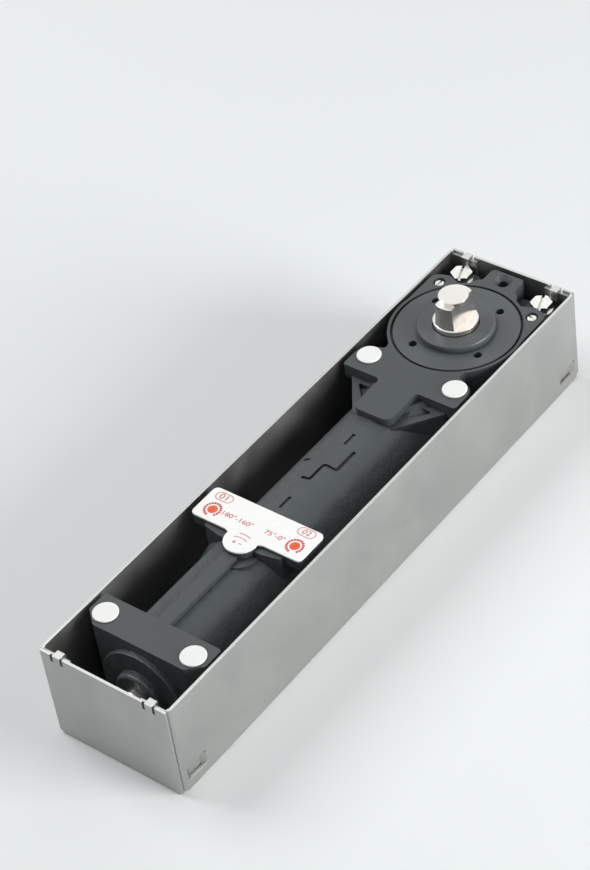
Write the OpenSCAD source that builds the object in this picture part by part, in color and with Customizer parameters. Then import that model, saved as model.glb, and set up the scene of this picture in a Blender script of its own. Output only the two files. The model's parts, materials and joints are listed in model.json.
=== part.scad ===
// Floor spring door closer: a cast cam-action closer that stands in a folded
// sheet-steel cement box.
// Frame: X runs along the box, +X to the spindle end. Y runs across it, +Z is up.
// The origin is on the underside of the box, straight below the spindle.

/* [Cement box] */
// Outer length of the box
box_l = 340; // [336:1:360]
// Outer width of the box
box_w = 78; // [77:0.5:90]
// Outer height of the box
box_h = 58; // [57:0.5:66]
// Thickness of the folded sheet
sheet_t = 1.5; // [1:0.1:2]
// Room between the round housing and the outer face of the spindle end
head_room = 16.8; // [16:0.1:20]
// Width of the flange that each side wall turns in behind an end panel
flange_w = 17.5; // [12:0.5:20]
// Width of each clinch tab at the top of an end panel
tab_w = 4.5; // [3:0.5:8]
// Distance of the clinch tabs from the middle of the box
tab_y = 28; // [24:0.5:31]
// Outer radius of the sheet's bends
bend_r = 2; // [1.8:0.1:2.5]
// Length that each clinch tab reaches down inside the flange
tab_drop = 5; // [3:0.5:9]
// Length of each lanced ledge in a side wall
lance_l = 14; // [10:0.5:20]
// Height of each lanced ledge
lance_h = 7; // [5:0.5:9]
// Distance that a ledge is pushed in from the wall
lance_push = 2; // [1.7:0.1:2.2]

/* [Closer body] */
// Height of the machined top face above the underside of the box
body_top = 57.2; // [56:0.1:58]
// Free height between the box floor and the casting
floor_gap = 1.2; // [0.8:0.1:2]
// Gap between the round housing and the side wall of the box
side_gap = 1.3; // [1:0.1:2]
// Gap between the casting's lugs and the side wall of the box
lug_gap = 2.6; // [2.4:0.1:3]
// Thickness of the housing's wall round the cam chamber
chamber_wall = 5; // [4.8:0.1:5.4]
// Radius of the piston bore
bore_r = 20.5; // [20.3:0.1:20.6]
// Thickness of the spring tube's wall
tube_wall = 5; // [4.5:0.1:5]
// Height of the spring tube's axis above the underside of the box
tube_z = 28.3; // [28.3:0.1:29]
// Height of the cam chamber's floor
chamber_z = 15; // [14.9:0.1:15.5]
// Thickness of the casting's flat lugs
lug_t = 8; // [6:0.5:10]
// Room between the end block and the near end of the box
end_room = 26; // [24:0.5:30]
// Length of the end block along the box
block_l = 19; // [17:0.5:22]
// Distance from the spindle axis to the middle of the label bar
bar_x = 169.3; // [165:0.1:172]
// Height of the label bar's top face
bar_top = 58.2; // [57.5:0.1:59]

/* [Spindle and cover] */
// Height of the spindle's tip above the underside of the box
spindle_top = 79.6; // [77:0.1:84]
// Radius of the spindle shaft and of its collar
shaft_r = 12; // [11.8:0.1:12.2]
// Radius of the round pilot on the tip
pilot_r = 8; // [7.6:0.1:8.4]
// Height of the pilot
pilot_h = 2; // [1.6:0.1:3]
// Width across the two driving flats under the pilot
flat_w = 10; // [9.6:0.1:10.6]
// Width across the two driving flats at the collar
flat_base_w = 12; // [11.6:0.1:12.6]
// Width of the housing's rim outside the screwed cover disc
cover_rim = 3; // [2.8:0.1:3.2]
// Depth of the cover disc's screwed edge
cover_t = 10.2; // [9.5:0.1:10.5]
// Radius of the raised boss on the cover disc
boss_r = 20.5; // [18.5:0.5:21]
// Height of the boss above the body's top face
boss_h = 3.8; // [3:0.1:4.2]
// Pitch circle radius of the four pin-spanner holes
spanner_pcr = 25; // [24:0.1:27]
// Radius of a pin-spanner hole
spanner_r = 2.25; // [1.9:0.05:2.5]
// Depth of a pin-spanner hole
spanner_depth = 5; // [3:0.5:6]

/* [Cam, roller and piston] */
// Distance between the spindle axis and the roller axis with the door shut
lift_start = 22.5; // [22.5:0.1:22.8]
// Gap between the cam's tip and the wall of the cam chamber
cam_tip_gap = 1.95; // [1.5:0.05:3]
// Radius of the cam roller
roller_r = 9; // [8.7:0.1:9]
// Radius of the roller's pin
pin_r = 4; // [3.5:0.1:4.5]
// Thickness of the cam
cam_t = 14; // [12:0.5:14]
// Thickness of each arm of the fork
arm_t = 4.5; // [4:0.1:4.8]
// Half the width of the fork arms
arm_half_w = 10.5; // [9.5:0.5:12]
// Length of the piston's skirt
piston_l = 26; // [22:1:30]

/* [Spring and its adjuster] */
// Diameter of the spring wire
wire_d = 7; // [6:0.1:7]
// Mean radius of the spring's coils
coil_r = 15.5; // [15.3:0.1:15.6]
// Number of coils
coils = 11; // [9:1:12]
// Travel of the spring seat from slack to full power
seat_travel = 7; // [5:0.5:8]
// Radius of the power screw
power_r = 6; // [5:0.5:6]

/* [Valves, bolts and caps] */
// Distance along the box from the middle of a speed valve to the far side of the housing
valve_back = 9.9; // [9.2:0.1:10.2]
// Distance of the speed valves from the side of the housing
valve_inset = 7.05; // [6.9:0.05:7.4]
// Radius of a valve's thread
valve_r = 3; // [2.6:0.1:3.1]
// Radius of the recess over a valve
valve_recess_r = 3.35; // [3.2:0.05:3.6]
// Distance of the fixing bolts from the housing along the box
bolt_out = 4.8; // [4.4:0.1:5.2]
// Distance of the fixing bolts from the side of the housing
bolt_inset = 10.9; // [10:0.1:11.5]
// Radius of a fixing bolt's shank
bolt_r = 3; // [2.5:0.5:3]
// Width across the flats of a fixing bolt's head
bolt_af = 10.5; // [9:0.5:11]
// Thickness of iron between the piston bore and the levelling screws
level_web = 2.25; // [2.1:0.05:2.3]
// Radius of a levelling screw
level_r = 4; // [3.5:0.1:4]
// Radius of a white cap
cap_r = 6.5; // [6:0.1:7]
// Thickness of a white cap's head
cap_t = 1; // [0.6:0.1:1.2]
// Thickness of the label plate
label_t = 0.9; // [0.5:0.1:1.2]
// Radius of the free hole in the end lug
lug_hole_r = 2.6; // [2.1:0.1:3.2]

/* [Hidden] */
$fn = 64;
eps = 0.01;

// Fits: a pressed fit, a large screwed fit, a running fit, and free room between moving pieces.
press_gap = 0.02;
thread_gap = 0.1;
run_gap = 0.05;
free_gap = 0.3;

// Box
wall_out = box_w / 2;
wall_in = wall_out - sheet_t;
head_r = wall_in - side_gap;
box_far = head_r + head_room;
box_near = box_far - box_l;
lap_gap = 0.2;
flange_in = sheet_t + lap_gap + sheet_t;
tab_slot = 1.5;
tab_notch = 4.5;
lance_z = 7;
lance_end = 5;
lance_slit = 1.2;
relief_r = 1.1;

// Casting
body_bottom = sheet_t + floor_gap;
tube_r = bore_r + tube_wall;
chamber_r = head_r - chamber_wall;
lug_half_w = wall_in - lug_gap;
level_y = bore_r + level_web + level_r;
block_half_w = lug_half_w + 0.6;
block_near = box_near + end_room;
block_far = block_near + block_l;
block_chamfer_x = 7;
block_chamfer_y = 8;
tube_joint_x = 6.2 - head_r;
lug_far = 1.7 - head_r;
lug_near = lug_far - 17.9;
tongue_near = lug_near - 24.3;
tongue_half_w = 11.3;
ledge_z = body_top - 7.8;
ledge_depth = 14;
ledge_far = box_far - 5;
ledge_half_w = lug_half_w - 1.4;
end_lug_far = box_far - 4;
end_lug_half_w = 10;
end_lug_hole_x = end_lug_far - 5.8;
pocket_r = 4.2;
pocket_z = ledge_z - 1.2;
pillar_r = lug_half_w - level_y - 0.55;
gusset_half_w = lug_half_w - 5.9;
gusset_top = body_top - 5.5;
gusset_bottom = 34;
gusset_pocket = 2.5;
level_xs = [lug_far - 6, block_near + 8.8];
rib_half_w = 3.7;
rib_top = body_top - 0.5;
rib_band_y = 12;
rib_band_top = body_top - 2.9;
rib_start = -bar_x - 21;
bar_half_w = lug_half_w - 1.4;
bar_half_l = 10.5;
bar_t = 5.5;
bar_tongue_r = 9;
bar_tongue_x = -bar_x - 12.5;
groove_xs = [-99.5, -115.3, -127.6];
groove_ys = [-6.8, 0.5, 5.5];
groove_w = 1.8;
groove_depth = 1.2;
mark_depth = 0.8;
saddle_half_w = tube_r - 2;
head_swell_r = tube_r + 4.5;
swell_end = lug_near - 13.6;
label_swell_r = tube_r + 2.1;
clear_h = body_top + 10;

// Cover and spindle
cover_r = head_r - cover_rim;
cover_bottom = body_top - cover_t;
cover_groove = 1.4;
cover_groove_depth = 2.5;
cover_thread_r = cover_r - 0.4;
cover_hub_r = 18;
cover_hub_h = 5;
cover_hub_z = cover_bottom - cover_hub_h;
seal_h = 5;
seal_r = 17;
bush_r = 15;
bush_top = body_top - seal_h;
seal_ring_h = 1.8;
boss_round = 1.2;
collar_h = 3.2;
collar_z = body_top + boss_h + collar_h;
collar_chamfer = 0.5;
drive_base_r = shaft_r - 0.5;
drive_top_r = drive_base_r - 0.9;
drive_ease = 0.3;
pilot_chamfer = 0.3;
cam_mid_z = tube_z;
cam_top = cam_mid_z + cam_t / 2;
cam_bottom = cam_mid_z - cam_t / 2;
cam_seat_r = shaft_r - 1;
shoulder_r = 9.2;
journal_r = 7.5;
circlip_t = 1.5;
circlip_r = cam_seat_r + 2.2;
circlip_groove_r = cam_seat_r - 1;
key_w = 5;
key_l = cam_t - 2;
key_d = 2;

// Lower ball bearing
brg_h = 9;
brg_r = 16;
brg_z = chamber_z - 0.3 - brg_h;
brg_pitch_r = 11.75;
brg_ball_r = 2.4;
brg_ball_gap = 0.12;
brg_balls = 9;
brg_inner_r = brg_pitch_r - 1.7;
brg_outer_r = brg_pitch_r + 1.7;
cage_half_t = 1;
cage_half_h = 3.2;

// Cam and follower
cam_clear = 0.25;
stroke = chamber_r - cam_tip_gap + roller_r + cam_clear - lift_start;
lift_rate = stroke / 180;
cam_steps = 30;
roller_x = -lift_start;
roller_half_h = cam_t / 2 + 0.2;
arm_in = roller_half_h + free_gap;
arm_out = arm_in + arm_t;
arm_tip_x = roller_x + pin_r + 3;
fork_plate_t = 6.5;
plate_gap = 2;
fork_plate_x = min(-chamber_r, roller_x - roller_r) - plate_gap;
fork_r = bore_r - 1.2;
fork_stem_r = 8;
fork_stem_l = 14;
fork_pin_r = 2;
fork_pin_inset = 1.2;
piston_front = fork_plate_x - fork_plate_t;
fork_pin_x = piston_front - fork_stem_l / 2;
piston_back = piston_front - piston_l;
piston_r = bore_r - run_gap;
spigot_r = coil_r - wire_d / 2 - 0.7;
spigot_l = 6;
ring_w = 3;
ring_x = piston_back + 7;
ring_depth = 2.4;
check_z = tube_z - bore_r + 6;
check_r = 3;
check_ball_r = 2.4;
check_ball_lift = 1.2;
check_seat_x = piston_front - 9;
check_port_r = 1.4;

// Tube end
thread_bore_r = bore_r + 1.5;
plug_r = thread_bore_r - thread_gap;
plug_l = 18;
plug_inner = block_near + plug_l;
plug_flange_r = bore_r + 3.5;
plug_flange_t = 3;
plug_hub_r = 13.5;
plug_hub_t = 4.2;
plug_ring_w = 2.5;
plug_ring_depth = 2;
plug_ring_x = plug_inner - 5.5;
power_ring_w = 2.5;
power_ring_x = plug_inner - 6;
seat_room = 30;
seat_back = plug_inner + seat_room;
seat_t = 5;
seat_r = bore_r - 2;
spring_near = seat_back + seat_t;
spring_far = piston_back;
screw_tail = seat_travel - plug_flange_t;
screw_out = block_near - plug_flange_t - plug_hub_t - screw_tail;
screw_seal_r = power_r + 2;

// Valves
valve_y = head_r - valve_inset;
valve_head_r = 2.45;
valve_x = head_r - valve_back;
valve_head_top = body_top - 0.9;
valve_head_h = 3.1;
valve_bottom = 36;
valve_tip = 31;
valve_needle_r = 1.3;
valve_port_r = 1.6;
valve_port_z = 30;
valve_ring_z = 48;
valve_ring_h = 1.8;
valve_ring_in = valve_r - 0.9;

// Fixings
bolt_x = head_r + bolt_out;
bolt_y = head_r - bolt_inset;
washer_t = 1.2;
washer_r = 6.2;
bolt_head_h = 4.2;
bolt_slot_w = 1.4;
bar_clear = 0.5;
bar_margin = 6.5;
bar_h = lance_z - sheet_t - 0.6;
screw_head_gap = 1.2;
cap_stem_r = level_r - 0.1;
cap_stem_l = 1;

// Oil filler under the label's tongue
filler_x = bar_tongue_x - 1;
filler_r = 3.5;
filler_head_r = 5;
filler_head_h = 2.6;
filler_washer_t = 0.8;

cast_c = [0.33, 0.35, 0.35];
zinc_c = [0.66, 0.66, 0.64];
steel_c = [0.80, 0.79, 0.77];
rubber_c = [0.10, 0.10, 0.10];
bronze_c = [0.70, 0.52, 0.28];
white_c = [0.96, 0.96, 0.96];

// ---------------------------------------------------------------- outlines

// One corner of an outline, [x, y, radius], as an arc between its neighbours.
function corner_arc(a, b, c, n = 6) =
    let (
        u = [a.x - b.x, a.y - b.y] / norm([a.x - b.x, a.y - b.y]),
        v = [c.x - b.x, c.y - b.y] / norm([c.x - b.x, c.y - b.y]),
        half = acos(max(-1, min(1, u * v))) / 2,
        turn = cross(u, v) > 0 ? 1 : -1,
        bis = (u + v) / norm(u + v),
        mid = [b.x, b.y] + bis * b.z / sin(half),
        start = atan2(b.y + u.y * b.z / tan(half) - mid.y, b.x + u.x * b.z / tan(half) - mid.x)
    )
    b.z == 0 ? [[b.x, b.y]]
    : [for (i = [0:n]) mid + b.z * [cos(start - turn * i * (180 - 2 * half) / n),
                                    sin(start - turn * i * (180 - 2 * half) / n)]];

// A closed outline with rounded corners from a list of [x, y, radius].
function rounded(p) =
    let (n = len(p))
    [for (i = [0:n - 1]) each corner_arc(p[(i + n - 1) % n], p[i], p[(i + 1) % n])];

// The same corners mirrored across the X axis and joined to the first half.
function both_sides(p) = concat(p, [for (i = [len(p) - 1:-1:0]) [p[i].x, -p[i].y, p[i].z]]);

// Point of the heart cam at angle t (0 to 180): the roller's path, moved in by the roller.
function cam_point(t) =
    let (
        s = lift_start + lift_rate * t,
        k = lift_rate * 180 / PI,
        l = norm([s, k]),
        r = roller_r + cam_clear
    )
    [s * cos(t) - r * (s * cos(t) + k * sin(t)) / l, s * sin(t) - r * (s * sin(t) - k * cos(t)) / l];

// One side of the cam from the notch to the tip, kept on its own side of the axis.
cam_side = [for (i = [0:cam_steps]) let (p = cam_point(i * 180 / cam_steps)) if (p.y > 0.05) p];

// The roller's seat in the notch of the cam, as an arc between the two flanks.
cam_notch_a = asin(cam_side[0].y / (roller_r + cam_clear));
cam_notch = [for (i = [2:-1:-2]) [lift_start - (roller_r + cam_clear) * cos(i * cam_notch_a / 3),
                                  (roller_r + cam_clear) * sin(i * cam_notch_a / 3)]];

cam_outline = concat(
    [for (i = [len(cam_notch) - 1:-1:0]) cam_notch[i]],
    cam_side,
    [[-(lift_start + stroke - roller_r - cam_clear - 0.35), 0]],
    [for (i = [len(cam_side) - 1:-1:0]) [cam_side[i].x, -cam_side[i].y]]
);

// ---------------------------------------------------------------- helpers

module x_cylinder(r, x0, x1, z = tube_z, y = 0) {
    translate([min(x0, x1), y, z])
        rotate([0, 90, 0])
            cylinder(r = r, h = abs(x1 - x0));
}

module y_cylinder(r, x, half_l) {
    translate([x, half_l, tube_z])
        rotate([90, 0, 0])
            cylinder(r = r, h = 2 * half_l);
}

module ring(r_out, r_in, h) {
    difference() {
        cylinder(r = r_out, h = h);
        translate([0, 0, -1])
            cylinder(r = r_in, h = h + 2);
    }
}

module x_ring(r_out, r_in, x0, x1) {
    difference() {
        x_cylinder(r_out, x0, x1);
        x_cylinder(r_in, min(x0, x1) - 1, max(x0, x1) + 1);
    }
}

module block(x0, x1, y0, y1, z0, z1) {
    translate([x0, y0, z0])
        cube([x1 - x0, y1 - y0, z1 - z0]);
}

module both_y() {
    children();
    mirror([0, 1, 0])
        children();
}

module at_levelling() {
    for (x = level_xs, side = [-1, 1])
        translate([x, side * level_y, 0])
            children();
}

module at_bolts() {
    for (side = [-1, 1])
        translate([bolt_x, side * bolt_y, 0])
            children();
}

// ---------------------------------------------------------------- cement box

// Plan of a ledge lanced out of the side wall and pushed in, with sloping ends.
module lance_profile() {
    slope = 3;
    polygon([
        [0, wall_in + sheet_t], [slope, wall_in + sheet_t - lance_push],
        [lance_l - slope, wall_in + sheet_t - lance_push], [lance_l, wall_in + sheet_t],
        [lance_l, wall_in], [lance_l - slope, wall_in - lance_push],
        [slope, wall_in - lance_push], [0, wall_in]
    ]);
}

// Plan of a side wall with the flange that it turns in at each end.
module wall_profile() {
    near = box_near + sheet_t + lap_gap;
    far = box_far - sheet_t - lap_gap;
    polygon(rounded([
        [near, wall_out - flange_w, 0], [near, wall_out, bend_r], [far, wall_out, bend_r],
        [far, wall_out - flange_w, 0], [far - sheet_t, wall_out - flange_w, 0],
        [far - sheet_t, wall_in, bend_r - sheet_t], [near + sheet_t, wall_in, bend_r - sheet_t],
        [near + sheet_t, wall_out - flange_w, 0]
    ]));
}

module side_wall() {
    difference() {
        translate([0, 0, bend_r])
            linear_extrude(height = box_h - bend_r)
                wall_profile();
        // the flanges end below the tabs
        for (x = [box_near, box_far - flange_in - eps])
            block(x, x + flange_in + eps, 0, wall_out - bend_r, box_h - sheet_t, box_h + 1);
        for (x = [box_near + lance_end, box_far - lance_end - lance_l])
            block(x, x + lance_l, wall_in - 1, wall_out + 1, lance_z, lance_z + lance_h + lance_slit);
    }
    for (x = [box_near + lance_end, box_far - lance_end - lance_l])
        translate([x, 0, lance_z])
            linear_extrude(height = lance_h)
                lance_profile();
}

// The floor with the bends that turn up into the side walls, between the corner reliefs.
module floor_channel() {
    top = 2 * bend_r;
    start = box_near + flange_in + bend_r;
    translate([start, 0, 0])
        rotate([90, 0, 90])
            linear_extrude(height = box_far - flange_in - bend_r - start)
                polygon(rounded([
                    [-wall_out, top, 0], [-wall_out, 0, bend_r], [wall_out, 0, bend_r], [wall_out, top, 0],
                    [wall_in, top, 0], [wall_in, sheet_t, bend_r - sheet_t],
                    [-wall_in, sheet_t, bend_r - sheet_t], [-wall_in, top, 0]
                ]));
}

// An end panel at x with the bend that joins it to the floor; dir points into the box.
module end_panel(x, dir) {
    half_w = wall_out - bend_r;
    foot = x + dir * (flange_in + bend_r + 1);
    x1 = x + dir * sheet_t;
    translate([0, half_w, 0])
        rotate([90, 0, 0])
            linear_extrude(height = 2 * half_w)
                polygon(rounded([
                    [x, 2 * bend_r, 0], [x, 0, bend_r], [foot, 0, 0],
                    [foot, sheet_t, 0], [x1, sheet_t, bend_r - sheet_t], [x1, 2 * bend_r, 0]
                ]));
    difference() {
        block(min(x, x1), max(x, x1), -wall_out + relief_r, wall_out - relief_r, bend_r, box_h);
        for (side = [-1, 1], s = [-1, 1])
            translate([x, side * tab_y + s * (tab_w + tab_slot) / 2, box_h - tab_notch])
                translate([-2 * sheet_t, -tab_slot / 2, 0])
                    cube([4 * sheet_t, tab_slot, tab_notch + 1]);
    }
}

// The tabs of an end panel, turned over the flanges and down behind them.
module clinch_tabs(x, dir) {
    tab_in = x + dir * (flange_in + sheet_t);
    for (side = [-1, 1])
        translate([0, side * tab_y + tab_w / 2, 0])
            rotate([90, 0, 0])
                linear_extrude(height = tab_w)
                    polygon(rounded([
                        [x, box_h - 2 * sheet_t, 0], [x, box_h, bend_r - sheet_t], [tab_in, box_h, bend_r - sheet_t],
                        [tab_in, box_h - sheet_t - tab_drop, 0],
                        [tab_in - dir * sheet_t, box_h - sheet_t - tab_drop, 0],
                        [tab_in - dir * sheet_t, box_h - sheet_t + lap_gap / 2, 0],
                        [x + dir * sheet_t, box_h - sheet_t + lap_gap / 2, 0],
                        [x + dir * sheet_t, box_h - 2 * sheet_t, 0]
                    ]));
}

module cement_box() {
    color(zinc_c) {
        floor_channel();
        both_y()
            side_wall();
        end_panel(box_near, 1);
        end_panel(box_far, -1);
        clinch_tabs(box_near, 1);
        clinch_tabs(box_far, -1);
    }
}

module fixing_bar() {
    color(zinc_c)
        difference() {
            block(head_r + bar_clear, bolt_x + bar_margin, -wall_in + bar_clear, wall_in - bar_clear,
                sheet_t, sheet_t + bar_h);
            at_bolts()
                cylinder(r = bolt_r + press_gap, h = clear_h);
        }
}

// ---------------------------------------------------------------- casting

// The flat lugs and the tongue on the spring side of the housing.
module lug_plate() {
    linear_extrude(height = lug_t)
        polygon(rounded(both_sides([
            [0, head_r - 6.2, 0],
            [11.2 - head_r, head_r - 11.7, 0],
            [4.7 - head_r, head_r - 13.7, 2],
            [lug_far + 0.5, lug_half_w - 4.9, 5],
            [lug_far - 5, lug_half_w, 6],
            [lug_near, lug_half_w, 1.5],
            [lug_near, tongue_half_w, 2.5],
            [tongue_near, tongue_half_w, 4.5]
        ])));
}

// The gusset beside the tongue, with its shallow triangular pocket.
module gusset() {
    difference() {
        translate([0, 0, gusset_bottom])
            linear_extrude(height = gusset_top - gusset_bottom)
                polygon(rounded([
                    [lug_far - 3.5, tongue_half_w - 2, 0], [lug_far - 3.5, gusset_half_w, 0],
                    [lug_near - 1, gusset_half_w, 3],
                    [tongue_near + 1, tongue_half_w + 1, 2], [tongue_near + 1, tongue_half_w - 2, 0]
                ]));
        translate([0, 0, gusset_top - gusset_pocket])
            linear_extrude(height = 2 * gusset_pocket)
                polygon(rounded([
                    [lug_near - 3, tongue_half_w + 1.5, 1], [lug_near - 3, gusset_half_w - 5.5, 1],
                    [tongue_near + 10, tongue_half_w + 1.5, 1]
                ]));
    }
}

// Square shoulders round the valves, down to the ledge that the bolts hold.
module valve_shoulders() {
    translate([0, 0, body_bottom])
        linear_extrude(height = body_top - body_bottom)
            polygon(rounded([
                [0, 20, 0], [0, head_r - 0.6, 0], [valve_x + 4.2, head_r - 0.6, 5],
                [valve_x + 7, valve_y - 2, 3], [valve_x + 4, 20, 4], [head_r - 8.2, 10, 0]
            ]));
}

module bolt_ledges() {
    translate([0, 0, ledge_z - ledge_depth])
        linear_extrude(height = ledge_depth)
            polygon(rounded(both_sides([
                [20, ledge_half_w, 0], [ledge_far - 3, ledge_half_w, 6], [ledge_far, 20, 6],
                [end_lug_far - 4, 14, 3]
            ])));
}

module end_lug() {
    translate([0, 0, ledge_z - ledge_depth])
        linear_extrude(height = body_top - ledge_z + ledge_depth)
            polygon(rounded(both_sides([
                [head_r - 6.2, 16, 0], [head_r - 0.2, 13.5, 4], [head_r + 2.8, end_lug_half_w, 3],
                [end_lug_far, end_lug_half_w, 2.5]
            ])));
}

module end_block() {
    translate([0, 0, body_bottom])
        linear_extrude(height = body_top - body_bottom)
            polygon(rounded(both_sides([
                [block_far, block_half_w, 1.5],
                [block_near + block_chamfer_x, block_half_w, 1],
                [block_near, block_half_w - block_chamfer_y, 1]
            ])));
}

// Outline of the bar under the label, and of the label itself when grow is below 0.
module bar_outline(grow = 0) {
    r = bar_tongue_r + grow;
    polygon(rounded(both_sides([
        [-bar_x + bar_half_l + grow, bar_half_w + grow, 2.8],
        [-bar_x - bar_half_l - grow, bar_half_w + grow, 2.8],
        [-bar_x - bar_half_l - grow, r + 2.5, 2.4],
        [bar_tongue_x + 1, r, 1]
    ])));
    translate([bar_tongue_x, 0])
        circle(r = r);
}

module label_bar() {
    translate([0, 0, bar_top - bar_t])
        linear_extrude(height = bar_t)
            bar_outline(-0.2);
    // web below the bar
    translate([0, 0, tube_z + 8])
        linear_extrude(height = bar_top - tube_z - 9)
            polygon(rounded(both_sides([
                [-bar_x + 7.5, saddle_half_w, 2], [-bar_x - 12.5, saddle_half_w, 1.5],
                [-bar_x - 14.5, 13, 2]
            ])));
    // round boss under the tongue, for the oil filler
    translate([bar_tongue_x - 3.5, 0, tube_z + 15])
        cylinder(r = 11.4, h = bar_top - bar_t - tube_z - 13.5);
}

module tube_rib() {
    block(block_far - 1, rib_start, -rib_half_w, rib_half_w, tube_z + 15, rib_top);
    block(block_far - 1, rib_start + 6, rib_half_w - 1, rib_band_y, tube_z + 15, rib_band_top);
}

// A stepped groove that runs along the top of the tube, as deep everywhere as its name says.
module tube_groove() {
    h = groove_w / 2;
    difference() {
        translate([0, 0, tube_z])
            linear_extrude(height = clear_h)
                polygon(rounded([
                    [groove_xs[0], groove_ys[0] - h, 0.7], [groove_xs[1] - h, groove_ys[0] - h, 2],
                    [groove_xs[1] - h, groove_ys[1] - h, 1], [groove_xs[2] - h, groove_ys[1] - h, 2],
                    [groove_xs[2] - h, groove_ys[2], 0.7], [groove_xs[2] + h, groove_ys[2], 0.7],
                    [groove_xs[2] + h, groove_ys[1] + h, 0.8], [groove_xs[1] + h, groove_ys[1] + h, 2],
                    [groove_xs[1] + h, groove_ys[0] + h, 1], [groove_xs[0], groove_ys[0] + h, 0.7]
                ]));
        x_cylinder(tube_r - groove_depth, groove_xs[2] - 5, groove_xs[0] + 5);
    }
}

// Small sunk casting marks on top of the tube.
module casting_marks() {
    difference() {
        for (mark = [[-98.4, -0.7, 8.6, 1.9], [-151.1, 0, 8.9, 1.9], [-115.2, 10.2, 2, 4]])
            translate([mark[0], mark[1], tube_z])
                cube([mark[2], mark[3], clear_h]);
        x_cylinder(tube_r - mark_depth, -160, -80);
    }
}

// Revolved swellings of the tube wall at the housing and under the label.
module tube_swellings() {
    intersection() {
        translate([0, 0, tube_z])
            rotate([0, 90, 0])
                rotate_extrude()
                    polygon([
                        [bore_r + 1, tube_joint_x], [head_swell_r, tube_joint_x], [head_swell_r, lug_near + 3.4],
                        [tube_r + 2, lug_near - 5.6], [tube_r - 0.6, swell_end], [bore_r + 1, swell_end]
                    ]);
        block(swell_end - 4, tube_joint_x, -lug_half_w, lug_half_w, body_bottom, body_top - 4);
    }
    intersection() {
        translate([0, 0, tube_z])
            rotate([0, 90, 0])
                rotate_extrude()
                    polygon([
                        [bore_r + 1, -bar_x + 16], [tube_r - 0.6, -bar_x + 16],
                        [label_swell_r, -bar_x + 8], [label_swell_r, -bar_x - 12],
                        [tube_r - 0.6, -bar_x - 24], [bore_r + 1, -bar_x - 24]
                    ]);
        block(-bar_x - 26, -bar_x + 18, -lug_half_w, lug_half_w, tube_z - bore_r, body_top);
    }
}

module casting_outside() {
    translate([0, 0, body_bottom])
        cylinder(r = head_r, h = body_top - body_bottom, $fn = 96);
    both_y()
        valve_shoulders();
    bolt_ledges();
    end_lug();
    translate([0, 0, body_top - lug_t])
        lug_plate();
    both_y()
        gusset();
    levelling_pillars();
    x_cylinder(tube_r, block_far - 1, tube_joint_x);
    tube_swellings();
    end_block();
    label_bar();
    tube_rib();
}

module levelling_pillars() {
    for (side = [-1, 1])
        translate([level_xs[0], side * level_y, body_bottom])
            cylinder(r = pillar_r, h = body_top - body_bottom - 1);
}

module valve_bore() {
    translate([valve_x, valve_y, valve_head_top - valve_head_h])
        cylinder(r = valve_recess_r, h = clear_h);
    translate([valve_x, valve_y, valve_bottom - 1])
        cylinder(r = valve_r + run_gap, h = body_top - valve_bottom);
    translate([valve_x, valve_y, valve_port_z])
        cylinder(r = valve_port_r, h = valve_bottom - valve_port_z);
    translate([valve_x, valve_y, valve_port_z])
        rotate([0, -90, atan2(valve_y, valve_x)])
            cylinder(r = valve_port_r - 0.1, h = norm([valve_x, valve_y]) - chamber_r + 3);
}

module closer_body() {
    color(cast_c)
        difference() {
            casting_outside();
            // cam chamber, cover thread and the groove round the cover
            translate([0, 0, chamber_z])
                cylinder(r = chamber_r, h = clear_h, $fn = 96);
            translate([0, 0, cover_bottom - seal_ring_h])
                cylinder(r = cover_thread_r + thread_gap, h = clear_h, $fn = 96);
            translate([0, 0, body_top - cover_groove_depth])
                cylinder(r = cover_r + cover_groove, h = clear_h, $fn = 96);
            // lower bearing seat, relieved under the ring that turns
            translate([0, 0, brg_z])
                cylinder(r = brg_r + press_gap, h = chamber_z);
            translate([0, 0, brg_z - 0.8])
                cylinder(r = brg_pitch_r + 2, h = chamber_z);
            // pocket beside the end lug
            translate([end_lug_far - 6, -end_lug_half_w - pocket_r, pocket_z]) {
                cylinder(r = pocket_r, h = clear_h);
                translate([0, -pocket_r, 0])
                    cube([20, 2 * pocket_r, box_h]);
            }
            tube_groove();
            casting_marks();
            // piston bore and the thread of the end plug
            x_cylinder(bore_r, block_near - 10, -20);
            x_cylinder(thread_bore_r, block_near - 10, plug_inner);
            // valves, bolts, levelling screws, the end lug's hole and the oil filler
            both_y()
                valve_bore();
            at_bolts()
                cylinder(r = bolt_r + 0.3, h = clear_h);
            at_levelling()
                cylinder(r = level_r + press_gap, h = clear_h);
            translate([end_lug_hole_x, 0, 0]) {
                cylinder(r = lug_hole_r, h = clear_h);
                translate([0, 0, body_top - 2.6])
                    cylinder(r1 = lug_hole_r, r2 = lug_hole_r + 2.7, h = 2.7);
            }
            translate([filler_x, 0, tube_z + 10])
                cylinder(r = filler_r + press_gap, h = 30);
            translate([filler_x, 0, bar_top - filler_head_h - filler_washer_t - 0.3])
                cylinder(r = filler_head_r + 0.5, h = 10);
        }
}

// ---------------------------------------------------------------- fixings

module levelling_screws() {
    color(steel_c)
        at_levelling()
            translate([0, 0, sheet_t])
                difference() {
                    cylinder(r = level_r, h = body_top - screw_head_gap - sheet_t);
                    translate([0, 0, body_top - screw_head_gap - sheet_t - 3])
                        cylinder(r = 2.2, h = 4, $fn = 6);
                }
}

module screw_caps() {
    color(white_c)
        at_levelling() {
            translate([0, 0, body_top])
                cylinder(r = cap_r, h = cap_t);
            translate([0, 0, body_top - cap_stem_l])
                cylinder(r = cap_stem_r, h = cap_stem_l + eps);
        }
}

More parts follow.
